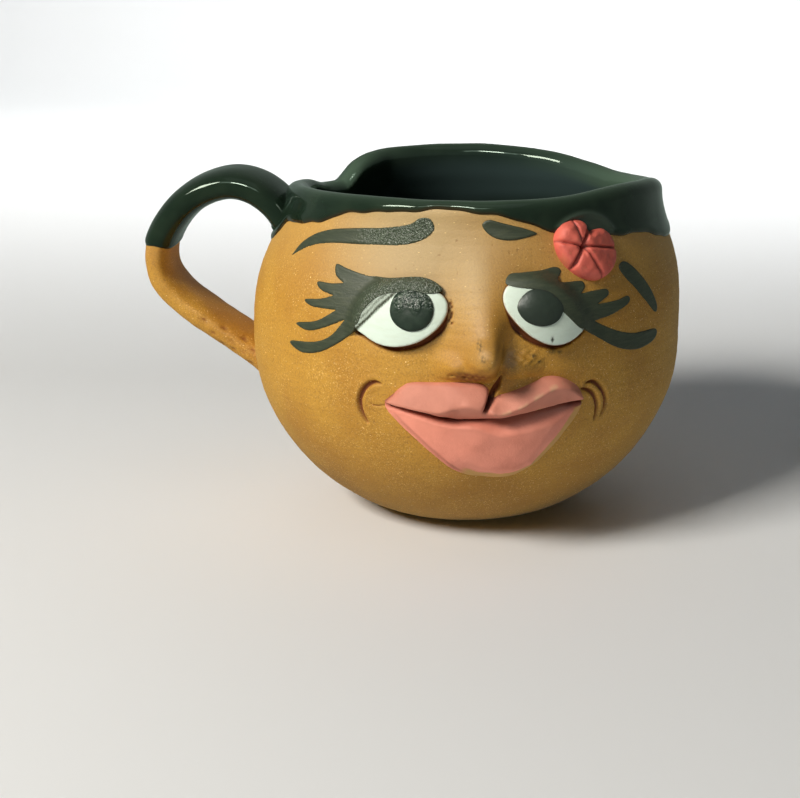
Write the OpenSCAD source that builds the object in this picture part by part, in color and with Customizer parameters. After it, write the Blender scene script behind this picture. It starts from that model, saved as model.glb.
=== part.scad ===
// Small round-bellied clay mug with one strap handle and a comic face.
// The origin is the middle of the foot and +Z is up. The handle points along -X.
// The face looks along -Y, turned a little towards +X.
// A place on the face is given by x, the distance along the belly from the middle of
// the face towards +X, by its height z, and by how far it stands proud of the clay.

/* [Body] */
// Largest radius of the belly
belly_r = 42; // [40:0.5:45]
// Height of the widest ring of the belly
belly_h = 34; // [32:0.5:36]
// Radius of the flat that the mug stands on
foot_r = 16; // [12:0.5:20]
// How far the neck draws in from the belly's radius to the rim's
neck_in = 6; // [4.5:0.25:7.5]
// Height of the rim at its side corners
rim_h = 64; // [63:0.5:68]
// How far the rim rises in front and at the back
rim_wave = 2; // [1:0.1:2.6]
// How far the pinched part of the rim is pressed in
rim_pinch = 1.5; // [0:0.1:3]
// How far the neck leans towards +X
rim_lean = 1.6; // [0:0.1:3]
// Thickness of the wall at the belly
wall_t = 4; // [3:0.1:5]
// Thickness of the floor in the middle
floor_t = 5; // [4:0.1:7]
// Thickness of the rounded rim
lip_t = 3.6; // [3:0.1:4.5]

/* [Glaze] */
// Thickness of the glaze coat
glaze_t = 0.35; // [0.2:0.05:0.6]
// How far below the rim corners the glaze comes down at the sides
glaze_drop = 10; // [8:0.5:12]
// How far along the handle the glaze goes, as a share of its length
handle_glaze_share = 0.5; // [0.4:0.05:0.6]

/* [Handle] */
// How far the middle of the strap stands off the widest ring of the belly
handle_off = 19; // [16:0.5:24]
// Height of the middle of the lower root
handle_low_z = 27.5; // [26:0.5:30]
// How far below the rim's side corners the middle of the strap is at its top
handle_top_drop = 1; // [-1:0.5:4]
// Width of the strap
strap_w = 14.4; // [12:0.2:17]
// Thickness of the strap
strap_t = 5.2; // [4:0.1:6]
// How much the two roots spread where they are pressed on the body
root_spread = 1.6; // [0.5:0.1:2.5]

/* [Face] */
// Angle that the face is turned from -Y towards +X
face_turn = 10; // [0:1:20]
// Thickness of the brush strokes of slip
slip_t = 0.5; // [0.3:0.05:0.8]
// Thickness of the eyelids
lid_t = 1.3; // [0.8:0.1:1.8]
// How far the eyes stand out in their middle
eye_t = 2.3; // [1.8:0.1:3]
// Radius of the eyes' domed face
eye_dome_r = 36; // [30:1:60]
// How far the irises stand out from the eyes
iris_t = 0.7; // [0.4:0.1:1]

/* [Left eye] */
// Place of the left eye along the belly
left_eye_x = -15.5; // [-17:0.25:-14]
// Height of the left eye
left_eye_z = 46.2; // [45:0.25:47]
// Width of the left eye
left_eye_w = 17.2; // [16:0.2:18]
// Height of the left eye's outline
left_eye_h = 9.2; // [8:0.2:10]
// Place of the left iris along the belly
left_iris_x = -12.9; // [-15:0.1:-12]
// Height of the middle of the left iris
left_iris_z = 47.7; // [46.5:0.1:48.2]
// Width of the left iris
left_iris_w = 7.7; // [6:0.1:8.2]
// Height of the left iris
left_iris_h = 6.6; // [5:0.1:7.2]

/* [Right eye] */
// Place of the right eye along the belly
right_eye_x = 9.8; // [9:0.1:11]
// Height of the right eye
right_eye_z = 46.4; // [45:0.25:47]
// Width of the right eye
right_eye_w = 15.2; // [14:0.2:16]
// Height of the right eye's outline
right_eye_h = 9.8; // [9:0.2:10.4]
// Place of the right iris along the belly
right_iris_x = 9.1; // [8.4:0.1:9.6]
// Height of the middle of the right iris
right_iris_z = 48.5; // [47:0.1:48.8]
// Width of the right iris
right_iris_w = 7.8; // [6:0.1:8.2]
// Height of the right iris
right_iris_h = 6.4; // [5:0.1:7]

/* [Lids and lashes] */
// Left end of the left lid
left_lid_x = -26.4; // [-28:0.1:-26]
// Lowest height of the left lid
left_lid_z = 45.5; // [45:0.1:46.5]
// Length of the left lid
left_lid_w = 18.7; // [17:0.1:19]
// Height range of the left lid
left_lid_h = 7.6; // [7:0.1:8]
// Left end of the left lashes
left_lashes_x = -39.8; // [-40.5:0.1:-38.5]
// Lowest height of the left lashes
left_lashes_z = 38; // [37:0.1:38.5]
// Length of the left lashes
left_lashes_w = 15.4; // [13:0.1:15.6]
// Height range of the left lashes
left_lashes_h = 15.6; // [14:0.1:16]
// Left end of the right lid
right_lid_x = 3.6; // [3:0.1:4]
// Lowest height of the right lid
right_lid_z = 47.5; // [47:0.1:48.5]
// Length of the right lid
right_lid_w = 10.6; // [10:0.1:11]
// Height range of the right lid
right_lid_h = 6.9; // [6.5:0.1:7.2]
// Left end of the right lashes
right_lashes_x = 12.1; // [12:0.1:13]
// Lowest height of the right lashes
right_lashes_z = 38; // [37:0.1:38.4]
// Length of the right lashes
right_lashes_w = 25; // [22:0.1:26]
// Height range of the right lashes
right_lashes_h = 16.5; // [16:0.1:17]

/* [Brows] */
// Left end of the left brow
left_brow_x = -45.5; // [-47:0.1:-44]
// Lowest height of the left brow
left_brow_z = 53.5; // [53:0.1:54]
// Length of the left brow
left_brow_w = 35; // [30:0.5:37]
// Height range of the left brow
left_brow_h = 9.8; // [7:0.1:10]
// Left end of the inner half of the right brow
inner_brow_x = -0.1; // [-1:0.1:1]
// Lowest height of the inner half of the right brow
inner_brow_z = 59.4; // [58:0.1:60]
// Length of the inner half of the right brow
inner_brow_w = 10.6; // [9:0.1:11]
// Height range of the inner half of the right brow
inner_brow_h = 3.6; // [3:0.1:4]
// Left end of the outer half of the right brow
outer_brow_x = 28.6; // [28:0.1:30]
// Lowest height of the outer half of the right brow
outer_brow_z = 43.6; // [43:0.1:44.5]
// Length of the outer half of the right brow
outer_brow_w = 9; // [8:0.1:10]
// Height range of the outer half of the right brow
outer_brow_h = 10.2; // [9:0.1:11]

/* [Nose] */
// Place of the nose along the belly
nose_x = -0.6; // [-1.5:0.1:0.5]
// Height of the lower edge of the nose
nose_z = 36.6; // [36.2:0.1:37.5]
// Width of the nose at its wings
nose_w = 13; // [11:0.1:14]
// Height of the nose from its wings to the top of its bridge
nose_h = 22.5; // [20:0.1:24]
// How far the tip of the nose stands out
nose_t = 6.8; // [4:0.1:8]

/* [Lips] */
// Left corner of the lips
lips_x = -17.8; // [-19:0.1:-17]
// Width of the lips
lips_w = 35; // [32:0.5:37]
// Lowest height of the parting between the lips
parting_z = 29.2; // [28.5:0.1:29.6]
// Height range of the upper lip
upper_lip_h = 6.4; // [5:0.1:6.6]
// How far the upper lip stands out
upper_lip_t = 3.2; // [2:0.1:4]
// Height range of the lower lip
lower_lip_h = 12; // [10:0.5:13]
// How far the lower lip stands out
lower_lip_t = 4.2; // [3:0.1:5]

/* [Flower] */
// Place of the flower along the belly
flower_x = 20.5; // [19.5:0.1:21]
// Height of the middle of the flower
flower_z = 57.3; // [57:0.1:58]
// Width of the flower
flower_w = 13.2; // [10:0.2:13.4]
// Height of the flower
flower_h = 11; // [9:0.2:11.4]
// Thickness of the flower
flower_t = 2.4; // [1.5:0.1:3]
// Depth of the pressed lines between its petals
petal_line_d = 1; // [0.4:0.1:1.3]

/* [Hidden] */

// Space left between two pieces that lie on each other
seat_gap = 0.06;
// Height above the clay of a piece that lies on the glaze
on_glaze = seat_gap + glaze_t + seat_gap;
// Least width of glaze between its lower edge and the rounding of the rim
glaze_band = 0.5;
// Outer rounding of the rim, and radius of the neck there
lip_r = lip_t / 2;
rim_r = belly_r - neck_in;
// Reach of the strap from the middle of the mug, and height of its top
handle_reach = belly_r + handle_off;
handle_top_z = rim_h - handle_top_drop;
// Rim height that the heights on the face and the glaze's drop are given for.
// They stretch with the rim.
face_rim_h = 64;
face_stretch = rim_h / face_rim_h;

// How the belly rounds up from the foot, and how its shoulder turns into the neck
foot_curve = 1.35;
shoulder_curve = 3.17;
neck_curve = 2.64;
// How the hollow rounds up from the floor
hollow_curve = 0.75;
// How square the strap's section is
strap_curve = 2.7;

// Columns round the mug, and rows in each stretch of its profile
columns = 64;
foot_rows = 9;
neck_rows = 6;
glaze_rows = 3;
lip_rows = 5;
// Stations along a brush stroke, a longer one, a lip or the handle
stroke_steps = 8;
long_stroke_steps = 16;
lip_steps = 28;
handle_steps = 32;
strap_sides = 16;

// Rim: angle, rise as a share of rim_wave, and press as a share of rim_pinch
rim_shares = [
    [0, 0.3, 0], [13, -0.35, 0], [35, -0.85, 0], [50, -0.35, 0], [65, 0.3, 0],
    [95, 0.8, 0], [125, 0.75, 0.3], [133, 0.6, 0.8], [141, 0, 1], [149, -1.85, 1],
    [157, -1.75, 0.7], [171, -0.8, 0.2], [195, -0.05, 0], [215, 0.4, 0], [255, 0.9, 0],
    [300, 0.9, 0], [325, 1.3, 0], [345, 0.95, 0], [360, 0.3, 0]
];
// Lower edge of the glaze: angle and drop as a share of glaze_drop
glaze_shares = [
    [0, 0.94], [20, 0.9], [50, 0.97], [80, 0.85], [110, 0.95], [140, 0.9], [165, 1.05],
    [180, 1.2], [193, 1.04], [204, 0.63], [217, 0.47], [225, 0.38], [239, 0.12],
    [250, 0.01], [270, -0.07], [283, 0], [294, 0.2], [300, 0.4], [320, 0.53],
    [336, 0.68], [347, 0.87], [360, 0.94]
];
// Middle line of the strap: shares of its reach from the neck and of its height
handle_shares = [
    [0, 0.77], [0.11, 0.89], [0.27, 0.975], [0.46, 1], [0.68, 0.945], [0.86, 0.83],
    [0.985, 0.665], [0.985, 0.49], [0.84, 0.345], [0.6, 0.21], [0.38, 0.1], [0.17, 0]
];

// A stroke's stations: place along it, then its lower and upper edge
left_brow_shares = [
    [0, 0, 0.03], [0.1, 0.19, 0.34], [0.22, 0.3, 0.53], [0.36, 0.37, 0.64],
    [0.53, 0.42, 0.72], [0.7, 0.45, 0.77], [0.83, 0.5, 0.86], [0.92, 0.6, 0.98],
    [0.98, 0.72, 0.98], [1, 0.8, 0.9]
];
inner_brow_shares = [
    [0, 0.62, 0.8], [0.06, 0.4, 0.92], [0.14, 0.22, 0.98], [0.3, 0.05, 0.93],
    [0.5, 0, 0.8], [0.7, 0.1, 0.62], [0.88, 0.25, 0.46], [1, 0.3, 0.38]
];
outer_brow_shares = [
    [0, 0.86, 0.96], [0.13, 0.72, 0.99], [0.3, 0.57, 0.94], [0.49, 0.41, 0.8],
    [0.67, 0.26, 0.6], [0.82, 0.13, 0.38], [0.94, 0.04, 0.17], [1, 0.01, 0.05]
];
left_lid_shares = [
    [0, 0.05, 0.97], [0.12, 0.06, 0.97], [0.23, 0.32, 0.92], [0.37, 0.57, 0.92],
    [0.54, 0.67, 0.95], [0.77, 0.69, 1], [0.94, 0.7, 0.9], [1, 0.74, 0.8]
];
right_lid_shares = [
    [0, 0.72, 0.8], [0.13, 0.64, 0.93], [0.4, 0.57, 0.94], [0.67, 0.53, 0.95],
    [0.82, 0.38, 0.7], [0.92, 0.2, 0.64], [1, 0.09, 0.62]
];
left_lashes_shares = [
    [[0.84, 0.84, 0.97], [0.73, 0.885, 0.99], [0.63, 0.93, 1]],
    [[0.84, 0.7, 0.825], [0.67, 0.69, 0.83], [0.49, 0.705, 0.81], [0.38, 0.745, 0.79]],
    [[0.84, 0.57, 0.685], [0.67, 0.55, 0.675], [0.46, 0.53, 0.655], [0.27, 0.54, 0.615],
     [0.21, 0.57, 0.59]],
    [[0.84, 0.44, 0.555], [0.71, 0.38, 0.535], [0.46, 0.295, 0.47], [0.24, 0.27, 0.39],
     [0.1, 0.29, 0.315]],
    [[0.98, 0.38, 0.46], [0.85, 0.23, 0.37], [0.64, 0.1, 0.24], [0.35, 0.01, 0.14],
     [0.11, 0.02, 0.1], [0.01, 0.07, 0.09]]
];
right_lashes_shares = [
    [[0.015, 0.89, 0.99], [0.05, 0.9, 0.995], [0.085, 0.935, 0.975]],
    [[0.1, 0.745, 0.83], [0.18, 0.74, 0.81], [0.25, 0.75, 0.775]],
    [[0.1, 0.64, 0.73], [0.24, 0.64, 0.725], [0.37, 0.6, 0.7], [0.48, 0.63, 0.68]],
    [[0.11, 0.57, 0.625], [0.2, 0.52, 0.625], [0.35, 0.48, 0.585], [0.5, 0.45, 0.57],
     [0.64, 0.51, 0.595], [0.67, 0.545, 0.575]],
    [[0.22, 0.43, 0.5], [0.34, 0.26, 0.465], [0.49, 0.115, 0.29], [0.64, 0.03, 0.2],
     [0.84, 0.01, 0.16], [0.99, 0.04, 0.155]]
];
// Lips: place along them, lower edge, upper edge, and how far they stand out
upper_lip_shares = [
    [0, 0.3, 0.34, 0.2], [0.065, 0.32, 0.64, 0.5], [0.135, 0.28, 0.9, 0.75],
    [0.26, 0.14, 0.97, 1], [0.37, 0.04, 0.98, 1], [0.44, 0.01, 0.94, 0.95],
    [0.48, 0, 0.66, 0.8], [0.5, 0, 0.34, 0.7], [0.545, 0.01, 0.58, 0.85],
    [0.615, 0.03, 0.78, 1], [0.72, 0.12, 0.87, 1], [0.81, 0.2, 0.99, 0.85],
    [0.93, 0.24, 0.88, 0.6], [0.985, 0.22, 0.6, 0.35], [1, 0.18, 0.26, 0.2]
];
lower_lip_shares = [
    [0, 1.1, 1.13, 0.2], [0.08, 0.83, 1.12, 0.5], [0.2, 0.55, 1.07, 0.8],
    [0.33, 0.3, 1, 0.95], [0.45, 0.13, 0.98, 1], [0.58, 0.06, 0.98, 1],
    [0.7, 0.14, 1.02, 1], [0.79, 0.33, 1.06, 0.9], [0.86, 0.57, 1.09, 0.75],
    [0.92, 0.81, 1.09, 0.55], [0.985, 1.03, 1.07, 0.2]
];
// Nose: height, left and right edge from its middle, and how far it stands out
nose_shares = [
    [0, -0.46, 0.42, 0.1], [0.03, -0.52, 0.47, 0.45], [0.075, -0.5, 0.46, 0.8],
    [0.13, -0.44, 0.42, 1], [0.2, -0.36, 0.36, 0.9], [0.3, -0.28, 0.3, 0.66],
    [0.42, -0.22, 0.24, 0.44], [0.6, -0.17, 0.2, 0.27], [0.8, -0.13, 0.15, 0.13],
    [1, -0.06, 0.08, 0.03]
];

// Outlines of the eyes, round each eye's middle, as shares of half its width and height
left_eye_shares = [
    [1, 0.1], [0.95, 0.7], [0.74, 0.88], [0.29, 0.88], [-0.29, 0.72], [-0.68, 0.25],
    [-0.98, -0.5], [-0.62, -0.74], [0.03, -1], [0.6, -0.62]
];
right_eye_shares = [
    [0.66, 0.05], [0.29, 0.68], [-0.2, 0.88], [-0.66, 0.96], [-0.9, 0.66], [-0.83, 0.12],
    [-0.49, -0.53], [0.16, -0.96], [0.75, -0.78], [0.98, -0.48]
];
// Pressed lines between the petals, as angles round the flower
petal_angles = [67.5, 112.5, 172.5, 247.5, 300, 352.5];
// Angle of the deepest notch in the flower's edge
petal_notch_angle = 67.5;

// Height of a stroke across its width, lower edge first
stroke_crown_shares = [0.5, 0.9, 1, 0.9, 0.5];
lid_crown_shares = [0.7, 1, 1, 0.8, 0.4];
upper_lip_crown_shares = [0.6, 0.9, 1, 0.85, 0.55, 0.2];
lower_lip_crown_shares = [0.4, 0.8, 1, 0.95, 0.75, 0.45];
nose_crown_shares = [0.03, 0.22, 0.62, 0.93, 0.93, 0.62, 0.22, 0.03];
// How high an eye's top is at rings towards its edge
eye_ring_shares = [[1, 0.15], [1, 0.55], [0.94, 0.86], [0.8, 0.97], [0.5, 1]];
iris_ring_shares = [[1, 0.15], [1, 0.5], [0.85, 0.75], [0.5, 0.95]];
petal_ring_shares = [[1, 0.1], [1, 0.55], [0.9, 0.88], [0.65, 1], [0.35, 0.92], [0.12, 0.7]];

function mix(a, b, t) = a + (b - a) * t;
function held(t, low, high) = min(max(t, low), high);
function eased(t) = let (c = held(t, 0, 1)) c * c * (3 - 2 * c);

// Value of a table of shares at an angle, eased between its rows
function row_before(table, a) = max([for (i = [0:len(table) - 2]) if (table[i][0] <= a) i]);
function around(table, a, column) =
    let (turn = a - 360 * floor(a / 360),
         i = row_before(table, turn),
         t = (turn - table[i][0]) / (table[i + 1][0] - table[i][0]))
    mix(table[i][column], table[i + 1][column], eased(t));

// Point on a smooth curve through a list of points, at t from 0 to 1
function knot(list, i) = list[held(i, 0, len(list) - 1)];
function bend(a, b, c, d, t) =
    (2 * b + (c - a) * t + (2 * a - 5 * b + 4 * c - d) * t * t
     + (3 * b - a - 3 * c + d) * t * t * t) / 2;
function along(list, t) =
    let (s = held(t, 0, 1) * (len(list) - 1), i = min(floor(s), len(list) - 2))
    bend(knot(list, i - 1), list[i], list[i + 1], knot(list, i + 2), s - i);
// The same on a closed outline
function ring_knot(list, i) = list[(i + len(list)) % len(list)];
function along_ring(list, t) =
    let (s = t * len(list), i = floor(s))
    bend(ring_knot(list, i - 1), ring_knot(list, i), ring_knot(list, i + 1),
         ring_knot(list, i + 2), s - i);

// Outer radius of the body at a height, before the neck's lean and pinch
function belly(z) =
    let (tilt = acos(held(1 - z / belly_h, -1, 1)))
    foot_r + (belly_r - foot_r) * pow(sin(tilt), foot_curve);
function shoulder(z) =
    let (w = held((z - belly_h) / (rim_h - belly_h), 0, 1))
    rim_r + (belly_r - rim_r) * pow(1 - pow(w, shoulder_curve), neck_curve);
function neck_part(z) = eased((z - belly_h) / (rim_h - belly_h));
function pinch(a, z) = rim_pinch * around(rim_shares, a, 2) * pow(neck_part(z), 3);
function skin_r(a, z) =
    (z < belly_h ? belly(max(z, 0)) : shoulder(z))
    + rim_lean * neck_part(z) * cos(a) - pinch(a, z);
function skin(a, z) = [skin_r(a, z) * cos(a), skin_r(a, z) * sin(a), z];

function rim_z(a) = rim_h + rim_wave * around(rim_shares, a, 1);
function glaze_z(a) =
    min(rim_h - glaze_drop * face_stretch * around(glaze_shares, a, 1),
        rim_z(a) - lip_r - glaze_band);

// Profile of the clay at an angle, as radius and height pairs: foot, belly, neck, rim
function outside(a) =
    let (rim = rim_z(a) - lip_r, low = glaze_z(a))
    concat(
        [for (i = [0:foot_rows]) let (z = belly_h * (1 - cos(90 * i / foot_rows)))
            [skin_r(a, z), z]],
        [for (i = [1:neck_rows]) let (z = mix(belly_h, low, i / neck_rows)) [skin_r(a, z), z]],
        [for (i = [1:glaze_rows]) let (z = mix(low, rim, i / glaze_rows)) [skin_r(a, z), z]]);
function lip(a) =
    let (rim = rim_z(a) - lip_r, middle = skin_r(a, rim) - lip_r)
    [for (i = [1:lip_rows]) let (turn = 180 * i / lip_rows)
        [middle + lip_r * cos(turn), rim + lip_r * sin(turn)]];
function hollow_r(a, z) =
    z > belly_h
    ? skin_r(a, z) - mix(wall_t, lip_t, neck_part(z))
    : (belly_r - wall_t) * pow(sin(acos(held((belly_h - z) / (belly_h - floor_t), -1, 1))),
                               hollow_curve);
function inside(a) =
    let (rim = rim_z(a) - lip_r)
    concat(
        [for (i = [1:neck_rows]) let (z = mix(rim, belly_h, i / neck_rows)) [hollow_r(a, z), z]],
        [for (i = [1:foot_rows - 2])
            let (z = belly_h - (belly_h - floor_t) * sin(90 * i / (foot_rows - 1)))
            [hollow_r(a, z), z]]);
function profile(a) = concat(outside(a), lip(a), inside(a));
first_glazed = foot_rows + neck_rows;

// Outward direction at a row of a profile, and the row pushed out along it
function facing(rows, i) =
    let (t = rows[min(i + 1, len(rows) - 1)] - rows[max(i - 1, 0)]) [t[1], -t[0]] / norm(t);
function pushed(rows, i, d) = rows[i] + facing(rows, i) * d;

// Closed solid through rings of points, capped by one point at each end
module skinned(rings, first, last) {
    n = len(rings[0]);
    m = len(rings);
    corners = concat([for (ring = rings) each ring], [first, last]);
    sides = [for (i = [0:m - 2], j = [0:n - 1])
        let (a = i * n + j, b = i * n + (j + 1) % n)
        each [[b, a, a + n], [b, a + n, b + n]]];
    caps = [for (j = [0:n - 1]) let (k = (j + 1) % n)
        each [[j, k, m * n], [(m - 1) * n + k, (m - 1) * n + j, m * n + 1]]];
    polyhedron(corners, concat(sides, caps));
}

// Closed solid through rings of points that come round to the first ring again
module sleeve(rings) {
    n = len(rings[0]);
    m = len(rings);
    polyhedron([for (ring = rings) each ring],
               [for (i = [0:m - 1], j = [0:n - 1])
                   let (k = (j + 1) % n, a = i * n, b = (i + 1) % m * n)
                   each [[a + k, a + j, b + j], [a + k, b + j, b + k]]]);
}

function column_angle(j) = 360 * j / columns;
function turned(rz, a) = [rz[0] * cos(a), rz[0] * sin(a), rz[1]];

module bowl() {
    profiles = [for (j = [0:columns - 1]) profile(column_angle(j))];
    rings = [for (i = [0:len(profiles[0]) - 1])
        [for (j = [0:columns - 1]) turned(profiles[j][i], column_angle(j))]];
    color([0.83, 0.63, 0.32]) skinned(rings, [0, 0, 0], [0, 0, floor_t]);
}

module hair_glaze() {
    profiles = [for (j = [0:columns - 1]) profile(column_angle(j))];
    last = len(profiles[0]) - 1;
    // From the hollow's floor up to the glaze's edge, then back over the coat's face
    function layer(i, d) =
        [for (j = [0:columns - 1]) turned(pushed(profiles[j], i, d), column_angle(j))];
    under = [for (i = [last:-1:first_glazed]) layer(i, seat_gap)];
    over = [for (i = [first_glazed:last]) layer(i, seat_gap + glaze_t)];
    color([0.14, 0.19, 0.16])
        skinned(concat(under, over), [0, 0, floor_t + seat_gap],
                [0, 0, floor_t + seat_gap + glaze_t]);
}

// Middle of the strap at t from 0 at the upper root to 1 at the lower root
handle_start = skin_r(180, handle_top_z);
function strap_middle(t) =
    let (p = along(handle_shares, t))
    [-mix(handle_start, handle_reach, p[0]), 0, mix(handle_low_z, handle_top_z, p[1])];
strap_probe_share = 0.01;
function strap_out(t) =
    let (d = strap_middle(t + strap_probe_share) - strap_middle(t - strap_probe_share))
    [d[2], 0, -d[0]] / norm(d);
// Widening of the strap towards a root
root_length_share = 0.12;
function spread(t) = root_spread * pow(max(0, 1 - min(t, 1 - t) / root_length_share), 2);
function rounded(c) = sign(c) * pow(abs(c), 2 / strap_curve);
function strap_ring(t, grow, size) =
    [for (j = [0:strap_sides - 1])
        let (a = 360 * j / strap_sides,
             across = (strap_w / 2 + grow + spread(t)) * size,
             deep = (strap_t / 2 + grow + spread(t)) * size)
        strap_middle(t) - strap_out(t) * deep * rounded(sin(a)) + [0, across * rounded(cos(a)), 0]];
// A point moved level onto the body, a distance off its clay
function on_body(p, off) =
    let (a = atan2(p[1], p[0]), r = skin_r(a, p[2]) + off) [r * cos(a), r * sin(a), p[2]];
function seated(ring, off) = [for (p = ring) on_body(p, off)];
// Space under the roots, whose backs are flat between their corners
root_gap = 0.2;
upper_root_gap = seat_gap + glaze_t + root_gap;
root_ring_share = 0.5;
// Places along the strap where its whole section is clear of the body
free_gap = 1;
function off_body(p) = norm([p[0], p[1]]) - skin_r(atan2(p[1], p[0]), p[2]);
free_places = [for (i = [1:handle_steps - 1])
    let (t = i / handle_steps,
         nearest = min([for (p = strap_ring(t, seat_gap + glaze_t, 1)) off_body(p)]))
    if (nearest > free_gap) t];

module handle() {
    rings = concat(
        [seated(strap_ring(0, 0, root_ring_share), upper_root_gap),
         seated(strap_ring(0, 0, 1), upper_root_gap)],
        [for (t = free_places) strap_ring(t, 0, 1)],
        [seated(strap_ring(1, 0, 1), root_gap),
         seated(strap_ring(1, 0, root_ring_share), root_gap)]);
    color([0.82, 0.61, 0.3])
        skinned(rings, on_body(strap_middle(0), upper_root_gap),
                on_body(strap_middle(1), root_gap));
}

module handle_glaze() {
    function layer(d) = concat(
        [seated(strap_ring(0, d, 1), upper_root_gap)],
        [for (t = free_places) if (t <= handle_glaze_share) strap_ring(t, d, 1)]);
    under = layer(seat_gap);
    over = layer(seat_gap + glaze_t);
    color([0.14, 0.19, 0.16])
        sleeve(concat([for (i = [len(under) - 1:-1:0]) under[i]], over));
}

// Place on the face at x along the belly and height z, standing h proud of the clay
face_a = 270 + face_turn;
// Steps in angle and height for finding which way the clay faces
probe_a = 0.5;
probe_share = 0.005;
probe_z = belly_h * probe_share;
function face_angle(x) = face_a + x / belly_r * 180 / PI;
function outward(a, z) =
    let (n = cross(skin(a + probe_a, z) - skin(a - probe_a, z),
                   skin(a, z + probe_z) - skin(a, z - probe_z)))
    n / norm(n);
function on_face(x, z, h) =
    let (a = face_angle(x), up = z * face_stretch) skin(a, up) + h * outward(a, up);

function mean(list, i = 0, sum = [0, 0, 0]) =
    i == len(list) ? sum / len(list) : mean(list, i + 1, sum + list[i]);

// Ring round one station of a stroke: its crown from low to high edge, then its back
function station_ring(x, low, high, t, crown, base) =
    let (n = len(crown) - 1)
    concat(
        [for (k = [n:-1:0]) on_face(x, mix(low, high, k / n), base + t * crown[k])],
        [for (k = [0:2]) on_face(x, mix(low, high, k / 2), base)]);

// Stroke laid on the face: a corner and size for its shares, thickness and crown
module stroke(corner, size, shares, t, crown, steps, base = seat_gap) {
    tall = len(shares[0]) > 3;
    forward = shares[len(shares) - 1][0] > shares[0][0];
    stations = [for (i = [0:steps]) along(shares, (forward ? i : steps - i) / steps)];
    rings = [for (s = stations)
        station_ring(corner[0] + size[0] * s[0], corner[1] + size[1] * s[1],
                     corner[1] + size[1] * s[2], t * (tall ? s[3] : 1), crown, base)];
    skinned(rings, mean(rings[0]), mean(rings[steps]));
}

// Button laid on the face: an outline, rings towards its middle, and the height of its top
back_ring_share = 0.5;
module button(middle, edge, ring_shares, top, base, sectors) {
    function ring(size, part) = [for (j = [0:sectors - 1])
        let (e = edge(j / sectors), x = middle[0] + e[0] * size, z = middle[1] + e[1] * size,
             low = base(x, z))
        on_face(x, z, low + (top(x, z) - low) * part)];
    rings = concat([ring(back_ring_share, 0), ring(1, 0)],
                   [for (s = ring_shares) ring(s[0], s[1])]);
    skinned(rings, on_face(middle[0], middle[1], base(middle[0], middle[1])),
            on_face(middle[0], middle[1], top(middle[0], middle[1])));
}

// Height of an eye's dome at a place, from the eye's middle
function eye_top(middle, x, z) =
    seat_gap + eye_t - (pow(x - middle[0], 2) + pow(z - middle[1], 2)) / (2 * eye_dome_r);
eye_sectors = 32;
iris_sectors = 24;

module eye(middle, size, shares) {
    color([0.9, 0.96, 0.88])
        button(middle,
               function (t) let (p = along_ring(shares, t)) [p[0] * size[0], p[1] * size[1]] / 2,
               eye_ring_shares,
               function (x, z) eye_top(middle, x, z),
               function (x, z) seat_gap, eye_sectors);
}

// The iris lies on the eye's dome, flattened where the lid's edge covers it
module iris(eye_middle, middle, size, lid_edge) {
    top_z = lid_edge - middle[1];
    color([0.2, 0.27, 0.22])
        button(middle,
               function (t)
                   [size[0] / 2 * cos(360 * t), min(size[1] / 2 * sin(360 * t), top_z)],
               iris_ring_shares,
               function (x, z) eye_top(eye_middle, x, z) + seat_gap + iris_t,
               function (x, z) eye_top(eye_middle, x, z) + seat_gap, iris_sectors);
}

module left_eye() {
    eye([left_eye_x, left_eye_z], [left_eye_w, left_eye_h], left_eye_shares);
}

module right_eye() {
    eye([right_eye_x, right_eye_z], [right_eye_w, right_eye_h], right_eye_shares);
}

// Highest place of each iris under its lid
iris_top_share = 0.84;

module left_iris() {
    iris([left_eye_x, left_eye_z], [left_iris_x, left_iris_z], [left_iris_w, left_iris_h],
         left_eye_z + iris_top_share * left_eye_h / 2);
}

module right_iris() {
    iris([right_eye_x, right_eye_z], [right_iris_x, right_iris_z], [right_iris_w, right_iris_h],
         right_eye_z + iris_top_share * right_eye_h / 2);
}

slip_colour = [0.4, 0.39, 0.26];

module left_lid() {
    color(slip_colour)
        stroke([left_lid_x, left_lid_z], [left_lid_w, left_lid_h], left_lid_shares,
               lid_t, lid_crown_shares, long_stroke_steps);
}

module right_lid() {
    color(slip_colour)
        stroke([right_lid_x, right_lid_z], [right_lid_w, right_lid_h], right_lid_shares,
               lid_t, lid_crown_shares, long_stroke_steps);
}

module left_lashes() {
    color(slip_colour) for (lash = left_lashes_shares)
        stroke([left_lashes_x, left_lashes_z], [left_lashes_w, left_lashes_h], lash,
               slip_t, stroke_crown_shares, stroke_steps);
}

module right_lashes() {
    color(slip_colour) for (lash = right_lashes_shares)
        stroke([right_lashes_x, right_lashes_z], [right_lashes_w, right_lashes_h], lash,
               slip_t, stroke_crown_shares, stroke_steps);
}

module left_brow() {
    color(slip_colour)
        stroke([left_brow_x, left_brow_z], [left_brow_w, left_brow_h], left_brow_shares,
               slip_t, stroke_crown_shares, long_stroke_steps);
}

module right_brow_inner() {
    color(slip_colour)
        stroke([inner_brow_x, inner_brow_z], [inner_brow_w, inner_brow_h], inner_brow_shares,
               slip_t, stroke_crown_shares, stroke_steps);
}

module right_brow_outer() {
    color(slip_colour)
        stroke([outer_brow_x, outer_brow_z], [outer_brow_w, outer_brow_h], outer_brow_shares,
               slip_t, stroke_crown_shares, stroke_steps);
}

module upper_lip() {
    color([0.87, 0.56, 0.47])
        stroke([lips_x, parting_z], [lips_w, upper_lip_h], upper_lip_shares,
               upper_lip_t, upper_lip_crown_shares, lip_steps);
}

module lower_lip() {
    color([0.85, 0.52, 0.44])
        stroke([lips_x, parting_z - seat_gap - lower_lip_h], [lips_w, lower_lip_h],
               lower_lip_shares, lower_lip_t, lower_lip_crown_shares, lip_steps);
}

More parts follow.
